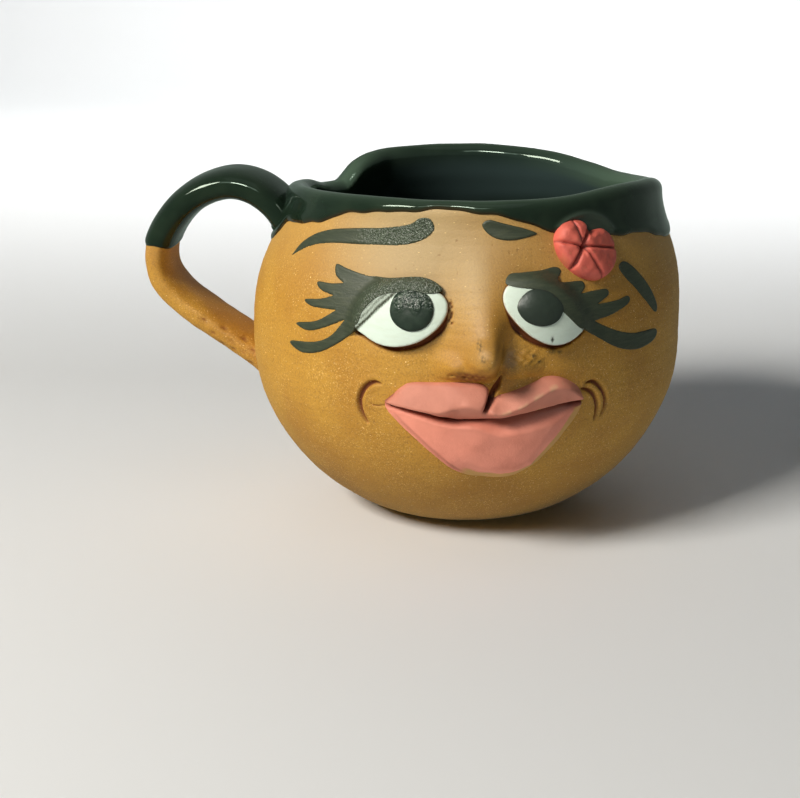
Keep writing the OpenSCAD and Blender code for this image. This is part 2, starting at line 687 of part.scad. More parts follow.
module nose() {
    steps = long_stroke_steps;
    crown = nose_crown_shares;
    n = len(crown) - 1;
    rings = [for (i = [0:steps])
        let (s = along(nose_shares, i / steps), z = nose_z + nose_h * s[0],
             left = nose_x + nose_w * s[1], right = nose_x + nose_w * s[2])
        concat(
            [for (k = [0:n])
                on_face(mix(left, right, k / n), z, seat_gap + nose_t * s[3] * crown[k])],
            [for (k = [n:-1:0]) on_face(mix(left, right, k / n), z, seat_gap)])];
    color([0.83, 0.66, 0.38]) skinned(rings, mean(rings[0]), mean(rings[steps]));
}

// Nearness to a pressed line, from 0 to 1, at an angle round the flower
line_width_angle = 9;
function petal_line(a) =
    max([for (line = petal_angles)
        let (away = acos(cos(a - line))) 1 - eased(away / line_width_angle)]);
// How far from the middle a pressed line reaches its full depth, as a share of the flower
line_full_share = 0.25;
notch_share = 0.12;
flower_sectors = 48;

module flower() {
    color([0.8, 0.35, 0.33])
        button([flower_x, flower_z],
               function (t)
                   let (a = 360 * t,
                        notch = 1 - eased(acos(cos(a - petal_notch_angle)) / line_width_angle),
                        r = (1 - notch_share * notch) / 2)
                   [r * flower_w * cos(a), r * flower_h * sin(a)],
               petal_ring_shares,
               function (x, z)
                   let (place = [(x - flower_x) / flower_w, (z - flower_z) / flower_h],
                        a = atan2(place[1], place[0]))
                   on_glaze + flower_t
                   - petal_line(a) * petal_line_d * min(1, norm(place) / line_full_share),
               function (x, z) on_glaze, flower_sectors);
}

bowl();
hair_glaze();
handle();
handle_glaze();
nose();
left_eye();
right_eye();
left_iris();
right_iris();
left_lid();
right_lid();
left_lashes();
right_lashes();
left_brow();
right_brow_inner();
right_brow_outer();
upper_lip();
lower_lip();
flower();
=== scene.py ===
"""Looks of a small round-bellied clay mug: strap handle, glazed rim, comic face.

Shapes are worked out in millimetres and become metres when a mesh is made.
A place on the face is x, the distance along the belly from the middle of the face,
the height z, and how far it stands proud of the clay.
"""
import math

import bmesh
import bpy
import numpy as np
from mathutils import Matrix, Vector
from mathutils.geometry import delaunay_2d_cdt


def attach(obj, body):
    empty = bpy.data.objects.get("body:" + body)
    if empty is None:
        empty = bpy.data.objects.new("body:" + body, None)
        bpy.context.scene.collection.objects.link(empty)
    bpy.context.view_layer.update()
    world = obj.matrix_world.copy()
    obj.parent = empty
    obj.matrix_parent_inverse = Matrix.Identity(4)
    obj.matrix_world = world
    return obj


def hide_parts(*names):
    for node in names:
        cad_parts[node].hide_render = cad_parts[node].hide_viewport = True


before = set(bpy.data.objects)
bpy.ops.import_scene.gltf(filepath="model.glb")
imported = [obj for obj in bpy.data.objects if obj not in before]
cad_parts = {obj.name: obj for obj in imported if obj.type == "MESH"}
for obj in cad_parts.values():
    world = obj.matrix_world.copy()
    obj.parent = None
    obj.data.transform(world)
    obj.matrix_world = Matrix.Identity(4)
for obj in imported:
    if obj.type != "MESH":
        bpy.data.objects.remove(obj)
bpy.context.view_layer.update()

MM = 0.001

# Body of the mug
BELLY_R, BELLY_Z = 42.0, 34.0
FOOT_R, RIM_R, RIM_Z = 16.0, 36.0, 64.0
WALL, FLOOR, LIP = 4.0, 5.0, 3.6
RIM_WAVE, RIM_PINCH, RIM_LEAN = 2.0, 1.5, 1.6
GLAZE_DROP = 10.0
FOOT_CURVE, SHOULDER_CURVE, NECK_CURVE, HOLLOW_CURVE = 1.35, 3.17, 2.64, 0.75
FACE_ANGLE = 280.0

# Angle, rise of the rim and how far it is pinched inwards
RIM_ROWS = [
    (0, 0.3, 0), (13, -0.35, 0), (35, -0.85, 0), (50, -0.35, 0), (65, 0.3, 0),
    (95, 0.8, 0), (125, 0.75, 0.3), (133, 0.6, 0.8), (141, 0, 1), (149, -1.85, 1),
    (157, -1.75, 0.7), (171, -0.8, 0.2), (195, -0.05, 0), (215, 0.4, 0), (255, 0.9, 0),
    (300, 0.9, 0), (325, 1.3, 0), (345, 0.95, 0), (360, 0.3, 0)]
# Angle and how far the glaze ran down, as a share of its drop
GLAZE_ROWS = [
    (0, 0.94), (20, 0.9), (50, 0.97), (80, 0.85), (110, 0.95), (140, 0.9), (165, 1.05),
    (180, 1.2), (193, 1.04), (204, 0.63), (217, 0.47), (225, 0.38), (239, 0.12),
    (250, 0.01), (270, -0.07), (283, 0), (294, 0.2), (300, 0.4), (320, 0.53),
    (336, 0.68), (347, 0.87), (360, 0.94)]


def mix(a, b, t):
    return a + (b - a) * t


def eased(t):
    c = np.clip(t, 0, 1)
    return c * c * (3 - 2 * c)


def hump(d, width=1.0):
    return np.exp(-(d / width) ** 2)


def oval(x, z, middle, size):
    """Distance from a middle, counted in the half axes of an oval."""
    return np.hypot((x - middle[0]) / size[0], (z - middle[1]) / size[1])


def ring_table(rows, column=1):
    """Smooth value round the mug through rows of angle and value; it never overshoots."""
    angle = np.array([r[0] for r in rows], float)
    value = np.array([r[column] for r in rows], float)
    step = np.diff(angle)
    rise = np.diff(value) / step
    before = np.roll(rise, 1)
    both = before * rise
    slope = np.where(both > 0, 2 * both / np.where(both > 0, before + rise, 1), 0)
    slope = np.append(slope, slope[0])

    def at(a):
        turn = np.mod(a, 360)
        i = np.clip(np.searchsorted(angle, turn, side="right") - 1, 0, len(step) - 1)
        t = (turn - angle[i]) / step[i]
        return (value[i] * (1 - eased(t)) + value[i + 1] * eased(t)
                + step[i] * (slope[i] * t * (1 - t) ** 2 - slope[i + 1] * t * t * (1 - t)))
    return at


rim_rise = ring_table(RIM_ROWS)
rim_press = ring_table(RIM_ROWS, 2)
glaze_drop = ring_table(GLAZE_ROWS)


def cos(a):
    return np.cos(np.radians(a))


def sin(a):
    return np.sin(np.radians(a))


def skin_r(a, z):
    """Outer radius of the clay at an angle and a height."""
    tilt = np.arccos(np.clip(1 - z / BELLY_Z, -1, 1))
    low = FOOT_R + (BELLY_R - FOOT_R) * np.sin(tilt) ** FOOT_CURVE
    w = np.clip((z - BELLY_Z) / (RIM_Z - BELLY_Z), 0, 1)
    high = RIM_R + (BELLY_R - RIM_R) * (1 - w ** SHOULDER_CURVE) ** NECK_CURVE
    neck = eased(w)
    return (np.where(z < BELLY_Z, low, high) + RIM_LEAN * neck * cos(a)
            - RIM_PINCH * rim_press(a) * neck ** 3)


def turned(r, a, z):
    return np.stack(np.broadcast_arrays(r * cos(a), r * sin(a), z), -1)


def skin(a, z):
    return turned(skin_r(a, z), a, z)


def outward(a, z):
    across = skin(a + 0.3, z) - skin(a - 0.3, z)
    up = skin(a, z + 0.1) - skin(a, z - 0.1)
    n = np.cross(across, up)
    return n / np.linalg.norm(n, axis=-1, keepdims=True)


def apart(a, b):
    """Degrees from b to a, between -180 and 180."""
    return np.mod(a - b + 180, 360) - 180


def face_x(a):
    """Distance along the belly from the middle of the face to an angle."""
    return np.radians(apart(a, FACE_ANGLE)) * BELLY_R


def face_turn(x):
    return FACE_ANGLE + np.degrees(x / BELLY_R)


def on_face(x, z, h):
    a = face_turn(x)
    z = np.asarray(z, float)
    return skin(a, z) + np.asarray(h)[..., None] * outward(a, z)


def rim_z(a):
    return RIM_Z + RIM_WAVE * rim_rise(a)


def hand_wave(p, size):
    """Slight unevenness of hand work, between -1 and 1, over about that many millimetres."""
    x, y, z = (p[..., k] / size * math.tau for k in range(3))
    return (np.sin(x + 0.9 * np.sin(z * 0.7 + 1)) * np.cos(y * 0.8 + 0.6 * z)
            + np.sin(z + 0.7 * np.cos(x * 1.1)) * 0.6) / 1.6


# Curves and outlines
def bend(a, b, c, d, f):
    """The smooth curve from b to c, at a share f of the way, with a before and d after."""
    return (2 * b + (c - a) * f + (2 * a - 5 * b + 4 * c - d) * f * f
            + (3 * b - a - 3 * c + d) * f ** 3) / 2


def along(rows, t):
    """Points at t from 0 to 1 on a smooth curve through rows."""
    rows = np.array(rows, float)
    s = np.clip(np.asarray(t, float), 0, 1) * (len(rows) - 1)
    i = np.minimum(s.astype(int), len(rows) - 2)
    f = (s - i)[..., None]
    return bend(*(rows[np.clip(i + k, 0, len(rows) - 1)] for k in (-1, 0, 1, 2)), f)


def closed_outline(rows, per_row=10):
    """Smooth closed outline through points; a third value marks a sharp corner."""
    n = len(rows)
    place = np.array([row[:2] for row in rows], float)
    sharp = np.array([len(row) > 2 for row in rows])
    s = np.arange(n * per_row) / per_row
    i = s.astype(int)
    f = (s - i)[:, None]
    b, c = place[i], place[(i + 1) % n]
    a = np.where(sharp[i][:, None], b, place[i - 1])
    d = np.where(sharp[(i + 1) % n][:, None], c, place[(i + 2) % n])
    return bend(a, b, c, d, f)


def line_distance(x, z, line):
    """Distance from a line through points, and the share of it passed at the nearest place."""
    line = np.array(line, float)
    best = np.full(np.shape(x), 1e9)
    share = np.zeros(np.shape(x))
    for k, (p, q) in enumerate(zip(line[:-1], line[1:])):
        d = q - p
        t = np.clip(((x - p[0]) * d[0] + (z - p[1]) * d[1]) / (d @ d), 0, 1)
        away = np.hypot(x - p[0] - t * d[0], z - p[1] - t * d[1])
        share = np.where(away < best, (k + t) / (len(line) - 1), share)
        best = np.minimum(away, best)
    return best, share


def outline_distance(x, z, outline):
    """Distance outside a closed outline; inside it, the distance is negative."""
    away, _ = line_distance(x, z, np.vstack([outline, outline[:1]]))
    inside = np.zeros(np.shape(x), bool)
    for p, q in zip(outline, np.roll(outline, -1, 0)):
        crosses = (p[1] > z) != (q[1] > z)
        level = p[0] + (z - p[1]) * (q[0] - p[0]) / (q[1] - p[1] + 1e-12)
        inside ^= crosses & (x < level)
    return np.where(inside, -away, away)


# Meshes
def put(name, data):
    """Puts a new object in the scene."""
    made = bpy.data.objects.new(name, data)
    bpy.context.scene.collection.objects.link(made)
    return made


def smooth_mesh(name, points, faces):
    mesh = bpy.data.meshes.new(name)
    mesh.from_pydata(points, [], faces)
    mesh.polygons.foreach_set("use_smooth", [True] * len(mesh.polygons))
    return mesh


def paint_on(mesh, marks):
    store = mesh.attributes.new("marks", "FLOAT_COLOR", "POINT")
    store.data.foreach_set("color", np.asarray(marks, float).ravel())


def new_piece(name, points, faces, marks, look, slot, node):
    """Makes a painted piece from points in millimetres, which stands for its CAD node."""
    mesh = smooth_mesh(name, (np.asarray(points) * MM).tolist(), faces)
    paint_on(mesh, marks)
    mesh.update()
    return settle(put(name, mesh), look, slot, node)


def settle(piece, look, slot, *nodes):
    piece.data.materials.clear()
    piece.data.materials.append(look)
    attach(piece, "root")
    if nodes:
        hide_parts(*nodes)
    return piece


def capped(rows, n):
    """Rows of a skin, with the middles of its first and last ring added."""
    return np.vstack([rows, rows[:n].mean(0), rows[-n:].mean(0)])


def skinned(rings, marks):
    """Points, faces and paint of a closed skin through rings, its faces turned outwards."""
    m, n = rings.shape[:2]
    i, j = np.meshgrid(np.arange(m - 1), np.arange(n), indexing="ij")
    near, far, k = i * n, (i + 1) * n, (j + 1) % n
    quads = np.stack([near + j, near + k, far + k, far + j], -1).reshape(-1, 4)
    points = rings.reshape(-1, 3)
    a, b, c, d = (points[quads[:, q]] for q in range(4))
    volume = (np.cross(a, b) * c).sum() + (np.cross(a, c) * d).sum()
    last = (m - 1) * n
    faces = quads.tolist()
    faces += [[(q + 1) % n, q, m * n] for q in range(n)]
    faces += [[last + q, last + (q + 1) % n, m * n + 1] for q in range(n)]
    if volume < 0:
        faces = [face[::-1] for face in faces]
    return capped(points, n), faces, capped(marks.reshape(-1, 4), n)


def four(*layers):
    """Up to four layers of paint, with the rest left at 0."""
    shape = np.broadcast_shapes(*[np.shape(v) for v in layers])
    full = [np.broadcast_to(v, shape) for v in layers]
    return np.stack(full + [np.zeros(shape)] * (4 - len(full)), -1)


SKIRT, EDGE_ROWS = 0.6, np.array([0.12, 0.3])


def patch(outline, step):
    """Points and triangles that fill a closed outline, closer together near its edge."""
    steps = np.linalg.norm(np.roll(outline, -1, 0) - outline, axis=1)
    outline = outline[steps > step / 50]
    along_edge = np.roll(outline, -1, 0) - np.roll(outline, 1, 0)
    inward = np.stack([-along_edge[:, 1], along_edge[:, 0]], -1)
    inward /= np.linalg.norm(inward, axis=1, keepdims=True) + 1e-9
    x, z = outline.T
    if (x * np.roll(z, -1) - z * np.roll(x, -1)).sum() < 0:
        inward = -inward
    low, high = outline.min(0), outline.max(0)
    grid = np.stack(np.meshgrid(np.arange(low[0], high[0], step),
                                np.arange(low[1], high[1], step)), -1)
    grid[1::2, :, 0] += step / 2
    inner = [(grid.reshape(-1, 2), 0.55 * step)]
    inner += [(outline + inward * off, off * 0.97) for off in step * EDGE_ROWS]
    kept = []
    for points, least in inner:
        away = outline_distance(points[:, 0], points[:, 1], outline)
        kept.append(points[away < -least])
    points = np.vstack([outline] + kept)
    ring = [(k, (k + 1) % len(outline)) for k in range(len(outline))]
    made = delaunay_2d_cdt([Vector(q) for q in points], ring, [], 1, 1e-5)
    return np.array([tuple(q) for q in made[0]]), [list(face) for face in made[2]]


def laid(name, look, slot, node, outline, height, paint, step=0.3, floor=-SKIRT):
    """A piece laid on the face: its outline filled, raised to its height and closed below."""
    flat, faces = patch(outline, step)
    x, z = flat[:, 0], flat[:, 1]
    depth = np.maximum(-outline_distance(x, z, outline), 0)
    top = on_face(x, z, height(x, z, depth))
    under = on_face(x, z, np.full(len(x), floor))
    n = len(x)
    a, b, c = (flat[[face[k] for face in faces]] for k in range(3))
    if np.cross(b - a, c - a).sum() < 0:
        faces = [face[::-1] for face in faces]
    edges = {(p, q) for face in faces for p, q in zip(face, face[1:] + face[:1])}
    rim = sorted((p, q) for p, q in edges if (q, p) not in edges)
    skin_faces = faces + [[v + n for v in face[::-1]] for face in faces]
    skin_faces += [[q, p, p + n, q + n] for p, q in rim]
    marks = np.tile(four(*paint(x, z, depth)), (2, 1))
    return new_piece(name, np.vstack([top, under]), skin_faces, marks, look, slot, node)


def rounded_edge(depth, width):
    """Rise from 0 at a piece's edge to 1 at a depth inside it, like a rounded shoulder."""
    return np.sqrt(1 - (1 - np.clip(depth / width, 0, 1)) ** 2)


# Node benches
def both_ways(operation):
    """An operator's method and its reflected form: each adds one Math node."""
    return (lambda self, other: self.bench.maths(operation, self, other),
            lambda self, other: self.bench.maths(operation, other, self))


class Term:
    """A value in a node tree that can stand in sums and products."""

    def __init__(self, bench, socket):
        self.bench, self.socket = bench, socket

    def __abs__(self):
        return self.bench.maths("ABSOLUTE", self)

    __add__, __radd__ = both_ways("ADD")
    __sub__, __rsub__ = both_ways("SUBTRACT")
    __mul__, __rmul__ = both_ways("MULTIPLY")
    __truediv__, __rtruediv__ = both_ways("DIVIDE")
    __pow__, __rpow__ = both_ways("POWER")
    __gt__, __lt__ = both_ways("GREATER_THAN")


class Bench:
    """A node tree that is built up term by term."""

    def __init__(self, tree):
        self.tree = tree

    def node(self, kind, values=None, out=0, **settings):
        """A node: its settings are set first, then the values or links of its sockets."""
        made = self.tree.nodes.new(kind)
        for name, value in settings.items():
            setattr(made, name, value)
        for name, value in (values or {}).items():
            socket = made.inputs[name]
            if isinstance(value, Term):
                self.tree.links.new(value.socket, socket)
            else:
                socket.default_value = value
        return Term(self, made.outputs[out])

    def out_of(self, term, name):
        return Term(self, term.socket.node.outputs[name])

    def maths(self, operation, *values):
        return self.node("ShaderNodeMath", dict(enumerate(values)), operation=operation)

    def vector(self, operation, *values, out=0):
        return self.node("ShaderNodeVectorMath", dict(enumerate(values)), out,
                         operation=operation)

    def scaled(self, vector, by):
        return self.node("ShaderNodeVectorMath", {0: vector, 3: by}, operation="SCALE")

    def stretched(self, vector, by):
        return self.vector("MULTIPLY", vector, by)

    def ramp(self, value, low, high):
        """Eased step of a value, from 0 to 1 between two limits."""
        return self.node("ShaderNodeMapRange", {0: value, 1: low, 2: high},
                         interpolation_type="SMOOTHSTEP")

    def blend(self, share, a, b):
        a, b = (v if isinstance(v, Term) else (*v, 1.0) for v in (a, b))
        return self.node("ShaderNodeMix", {0: share, 6: a, 7: b}, 2, data_type="RGBA")

    def coats(self, tone, **coats):
        """Lays named coats over a tone in their order, each a mask and a colour."""
        for name, (mask, colour) in coats.items():
            tone = self.blend(mask, tone, colour)
            tone.socket.node.label = name
        return tone

    def place(self):
        """Place on the mug in millimetres."""
        return self.scaled(self.node("ShaderNodeTexCoord", out="Object"), 1 / MM)

    def height_of(self, vector):
        return self.out_of(self.node("ShaderNodeSeparateXYZ", {0: vector}), "Z")

    def away_from(self, vector, x, z):
        """Distance from a place on the face."""
        middle = tuple(float(v) for v in on_face(x, z, 0.0))
        return self.vector("DISTANCE", vector, middle, out="Value")

    def noise(self, vector, size, detail=2.0, rough=0.5):
        return self.node("ShaderNodeTexNoise", {"Vector": vector, "Scale": 1 / size,
                                                "Detail": detail, "Roughness": rough})

    def layers(self):
        """The first three layers of the paint."""
        colour = self.node("ShaderNodeAttribute", out="Color", attribute_name="marks")
        first = self.node("ShaderNodeSeparateColor", {0: colour})
        return first, self.out_of(first, "Green"), self.out_of(first, "Blue")

    def bump(self, height, strength=1.0):
        """Bump whose height is in millimetres."""
        return self.node("ShaderNodeBump", {"Height": height, "Distance": MM,
                                            "Strength": strength})


def finish(name, build, **constants):
    """A material: constants go on the shader's sockets, build gives what varies."""
    made = bpy.data.materials.new(name)
    made.use_nodes = True
    tree = made.node_tree
    tree.nodes.clear()
    shader = tree.nodes.new("ShaderNodeBsdfPrincipled")
    result = tree.nodes.new("ShaderNodeOutputMaterial")
    tree.links.new(shader.outputs[0], result.inputs[0])
    for socket, value in constants.items():
        shader.inputs[socket.replace("_", " ")].default_value = value
    for socket, term in build(Bench(tree)).items():
        tree.links.new(term.socket, shader.inputs[socket])
    return made


# Finishes
CLAY_LIGHT = (0.585, 0.305, 0.031)
CLAY_DEEP = (0.49, 0.232, 0.019)
CLAY_RED = (0.21, 0.056, 0.011)
GREEN_TINT = (0.82, 1.0, 0.88, 1.0)
FLOOR_WHITE = (0.78, 0.81, 0.85, 1.0)


def bare_clay(b):
    p = b.place()
    raw, smudge, burnish = b.layers()
    level = b.height_of(p)
    patch = b.noise(p, 14, 3)
    wiped = b.noise(b.stretched(p, (0.4, 0.4, 1.3)), 1.0, 4, 0.6)
    combed = b.noise(b.stretched(p, (0.09, 0.09, 3.2)), 1.0, 3, 0.7)
    combed = b.ramp(combed, 0.56, 0.74) * b.ramp(level, 27, 16)
    grain = b.noise(p, 0.35, 3, 0.7)
    # painted sheen: a paler, less saturated patch on the upper left of the face, where the key
    # light's sheen falls
    haze = b.ramp(b.away_from(p, -15, 60), 23, 3)
    cell = b.node("ShaderNodeTexVoronoi", {"Vector": b.stretched(p, (0.75, 0.75, 1.3)),
                                           "Scale": 1.05})
    pick = b.node("ShaderNodeSeparateColor", {0: b.out_of(cell, "Color")})
    speck = b.ramp(cell, 0.15, 0.05) * (pick > 0.62)
    pit = b.ramp(b.noise(p, 0.8, 1), 0.70, 0.80)
    gold = b.ramp(b.noise(p, 0.30, 2, 0.8), 0.56, 0.68)
    gritty = b.ramp(b.noise(p, 8, 2), 0.36, 0.62) * b.ramp(b.away_from(p, -4, 45), 7, 15)
    tone = b.coats(
        b.blend(b.ramp(patch, 0.35, 0.68), CLAY_LIGHT, CLAY_DEEP),
        wiped=(b.ramp(wiped, 0.45, 0.8) * 0.08, (0.40, 0.18, 0.02)),
        # painted shade: the clay is darkened towards the foot, where less light falls
        darker_foot=(b.ramp(level, 24, 6) * 0.45, (0.30, 0.135, 0.018)),
        combed=(combed * 0.3, (0.74, 0.43, 0.11)),
        grain=(b.ramp(grain, 0.42, 0.70) * 0.5, (0.27, 0.115, 0.015)),
        gold=(gold * (0.15 + gritty * 0.5), (0.92, 0.60, 0.18)),
        # paler and less saturated towards the top
        dusty_top=(b.ramp(level, 44, 60) * 0.38, (0.54, 0.34, 0.13)),
        # the burnish layer lowers the roughness of burnished clay and also paints it paler as
        # painted sheen
        haze=(haze * 0.7 + burnish * 0.25, (0.50, 0.385, 0.20)),
        pits=(pit * 0.35, (0.24, 0.09, 0.012)),
        specks=(speck * 0.7, (0.98, 0.74, 0.30)),
        # raw clay colour, which also serves as painted shade in the eye gaps, the cuts and under
        # the nose
        cut_clay=(raw, CLAY_RED),
        # dark smudges; this layer also carries painted shade beside and below the nose
        smudge=(smudge * b.ramp(grain, 0.25, 0.5), (0.03, 0.035, 0.015)))
    rough = 0.60 - speck * 0.3 - burnish * 0.1 + raw * 0.3 + smudge * 0.35
    relief = (grain * 0.10 + wiped * 0.03 + patch * 0.25 - pit * 0.05 + speck * 0.03
              + combed * 0.05)
    return {"Base Color": tone, "Roughness": rough, "Normal": b.bump(relief, strength=0.8)}


def rim_glaze(b):
    p = b.place()
    thin, bead, halo = b.layers()
    run = b.noise(p, 7, 2)
    fine = b.noise(p, 1.6, 2)
    off = b.vector("LENGTH", b.stretched(p, (1, 1, 0)), out="Value")
    hollow = b.ramp(off, 35.6, 33.6) * b.ramp(b.height_of(p), 66, 60)
    tone = b.coats(
        b.blend(b.ramp(run, 0.35, 0.7), (0.010, 0.020, 0.012), (0.017, 0.030, 0.018)),
        # painted light: the glaze inside the hollow is painted a lighter, bluer tone than the
        # same glaze outside
        hollow=(hollow, (0.040, 0.066, 0.066)),
        # thin glaze on the lip, lighter green, also a painted reflection on the lip's crest and
        # on bands inside and outside it
        thin_on_lip=(thin, (0.075, 0.125, 0.085)),
        flower_ring=(halo * 0.7, (0.075, 0.105, 0.080)),
        edge_bead=(bead * 0.8, (0.045, 0.024, 0.008)))
    wave = b.noise(p, 9, 1) * 0.4 + fine * 0.02
    return {"Base Color": tone, "Roughness": 0.06 + b.ramp(fine, 0.5, 0.8) * 0.04,
            "Normal": b.bump(wave, strength=0.5)}


def brushed_slip(b):
    """Dark slip: matt and olive where it is dry; glossy where it stayed wet, painted lighter
    there as a painted sheen, with painted glints on its beads.
    """
    p = b.place()
    wet, edge, _ = b.layers()
    streak = b.noise(b.stretched(p, (0.35, 0.35, 2.4)), 1.0, 4, 0.65)
    grain = b.noise(p, 0.34, 3, 0.7)
    bead = b.noise(p, 0.42, 2, 0.6)
    tone = b.coats(
        b.blend(b.ramp(streak, 0.35, 0.75), (0.031, 0.043, 0.023), (0.056, 0.068, 0.036)),
        dry_grain=(b.ramp(grain, 0.55, 0.8) * 0.3, (0.085, 0.085, 0.040)),
        # painted sheen: the wet, glossy zone is painted lighter, and its beads get painted glints
        wet=(wet * 0.8, (0.060, 0.080, 0.050)),
        wet_beads=(wet * b.ramp(bead, 0.54, 0.64) * 0.45, (0.20, 0.25, 0.18)),
        thin_edge=(edge * 0.1, (0.07, 0.06, 0.02)))
    rough = 0.52 - b.ramp(grain, 0.45, 0.7) * 0.10 - wet * 0.25
    height = streak * 0.05 + grain * 0.04 + wet * bead * 0.42
    return {"Base Color": tone, "Roughness": rough, "Normal": b.bump(height)}


def eye_white(b):
    p = b.place()
    wall, band, spot = b.layers()
    brush = b.noise(b.stretched(p, (0.5, 0.5, 1.8)), 1.2, 3)
    grain = b.noise(p, 0.5, 3)
    scratch = b.ramp(b.noise(p, 0.35, 3, 0.7), 0.42, 0.6)
    tone = b.coats(
        b.blend(b.ramp(brush, 0.35, 0.75) * 0.5, (0.74, 0.88, 0.78), (0.68, 0.80, 0.68)),
        # the slab's bare side, dark red-brown: partly raw clay and partly painted shade in the
        # gap below the eye
        bare_wall=(wall, (0.30, 0.095, 0.020)),
        brushed_band=(band * (0.8 + scratch * 0.2), (0.055, 0.065, 0.035)),
        spot=(spot, (0.02, 0.024, 0.012)))
    return {"Base Color": tone, "Roughness": 0.42 + grain * 0.12,
            "Normal": b.bump(brush * 0.05 + grain * 0.03 + band * scratch * 0.1)}


def iris_glaze(b):
    p = b.place()
    wet, edge, dull = b.layers()
    run = b.noise(p, 1.6, 3)
    grain = b.noise(p, 0.6, 2)
    tone = b.coats(
        b.blend(b.ramp(run, 0.4, 0.7), (0.016, 0.031, 0.020), (0.026, 0.046, 0.030)),
        dark_edge=(edge * 0.5, (0.006, 0.009, 0.005)),
        # painted glints: light specks on the wet top of the left iris
        wet_beads=(wet * b.ramp(grain, 0.5, 0.6) * 0.5, (0.124, 0.167, 0.124)),
        dull=(dull, (0.028, 0.038, 0.029)))
    rough = 0.34 + grain * 0.10 - wet * 0.14
    return {"Base Color": tone, "Roughness": rough,
            "Normal": b.bump(run * 0.06 + grain * (0.03 + wet * 0.42))}


def lip_pink(b):
    p = b.place()
    raw, fold, low = b.layers()
    patch = b.noise(p, 5, 3)
    grain = b.noise(p, 0.42, 4, 0.7)
    cloudy = b.ramp(patch, 0.35, 0.7)
    # the lower lip gets a lighter copy of the same pink, as painted light
    upper = b.blend(cloudy, (0.68, 0.255, 0.175), (0.60, 0.215, 0.145))
    lower = b.blend(cloudy, (0.90, 0.320, 0.225), (0.80, 0.270, 0.185))
    scraped = b.blend(low, (0.72, 0.44, 0.25), (0.62, 0.34, 0.10))
    tone = b.coats(
        b.blend(low, upper, lower),
        pale_grain=(b.ramp(grain, 0.55, 0.85) * 0.25, (0.80, 0.40, 0.27)),
        # painted shade: dark red in the parting, the slit and the creases
        fold=(fold, (0.20, 0.045, 0.022)),
        scraped=(raw * b.ramp(b.noise(p, 0.5, 3), 0.25, 0.4), scraped))
    return {"Base Color": tone, "Roughness": 0.70 - patch * 0.1,
            "Normal": b.bump(grain * 0.07 + patch * 0.18)}


def flower_red(b):
    p = b.place()
    raw, fold, _ = b.layers()
    patch = b.noise(p, 2.5, 3)
    grain = b.noise(p, 0.45, 4, 0.7)
    scuff = b.ramp(b.noise(p, 0.9, 3, 0.7), 0.60, 0.70)
    tone = b.coats(
        b.blend(b.ramp(patch, 0.35, 0.7), (0.76, 0.145, 0.100), (0.64, 0.108, 0.078)),
        scuffs=(scuff * 0.35, (0.66, 0.26, 0.13)),
        # painted shade: dark red in the cuts between the petals
        petal_cuts=(fold * 0.8, (0.24, 0.022, 0.016)),
        bare_side=(raw, (0.40, 0.20, 0.05)))
    return {"Base Color": tone, "Normal": b.bump(grain * 0.07 + patch * 0.1)}


def gold_fleck(b):
    return {"Base Color": b.blend(b.noise(b.place(), 3), (0.95, 0.72, 0.36), (0.90, 0.60, 0.24))}


def pale_floor(b):
    return {"Roughness": 0.75 + b.noise(b.place(), 60, 2) * 0.1}


clay = finish("bare_terracotta", bare_clay)
glaze = finish("green_black_glaze", rim_glaze, IOR=1.38, Specular_Tint=GREEN_TINT)
slip = finish("brushed_dark_slip", brushed_slip)
white = finish("white_eye_slip", eye_white)
iris = finish("domed_iris_glaze", iris_glaze)
pink = finish("matt_lip_slip", lip_pink)
red = finish("matt_flower_slip", flower_red, Roughness=0.60)
fleck = finish("mica_fleck", gold_fleck, Metallic=1.0, Roughness=0.32)
floor_finish = finish("pale_floor", pale_floor, Base_Color=FLOOR_WHITE)

# Face outlines
LEFT_EYE, RIGHT_EYE = (-15.5, 46.2), (9.8, 46.4)
EYE_T, EYE_DOME = 2.3, 36.0
left_eye = closed_outline([
    (-24.0, 44.4), (-21.6, 42.9), (-19.3, 41.9), (-16.8, 41.5), (-14.2, 41.8), (-11.8, 42.6),
    (-9.6, 44.0), (-7.9, 45.7), (-6.9, 47.6), (-7.0, 49.5), (-8.6, 50.9), (-13.0, 51.8),
    (-18.0, 51.2), (-22.0, 48.4)])
right_eye = closed_outline([
    (4.5, 52.2), (3.1, 51.0), (2.9, 49.3), (3.7, 47.4), (5.7, 45.0), (8.0, 43.1), (10.8, 41.8),
    (13.6, 41.7), (16.2, 42.7), (17.9, 44.3), (16.6, 46.8), (13.6, 50.2), (9.0, 52.3)])
left_iris = closed_outline([
    (-16.8, 47.2), (-16.5, 49.4), (-15.2, 50.7), (-12.8, 50.9), (-10.3, 50.3), (-9.2, 48.3),
    (-9.7, 46.1), (-11.3, 44.7), (-13.5, 44.4), (-15.7, 45.4)])
right_iris = closed_outline([
    (5.2, 48.2), (6.0, 49.9), (8.0, 51.1), (10.6, 50.8), (12.5, 49.5), (13.4, 47.9),
    (12.5, 46.1), (10.6, 45.2), (8.2, 45.3), (6.2, 46.4)])
LEFT_CUT_EDGE = [(-16.9, 49.7), (-18.6, 48.2), (-20.4, 46.6), (-22.6, 44.4)]
RIGHT_CUT_EDGE = [(11.6, 49.9), (12.6, 48.2), (13.8, 46.8), (16.6, 44.6)]

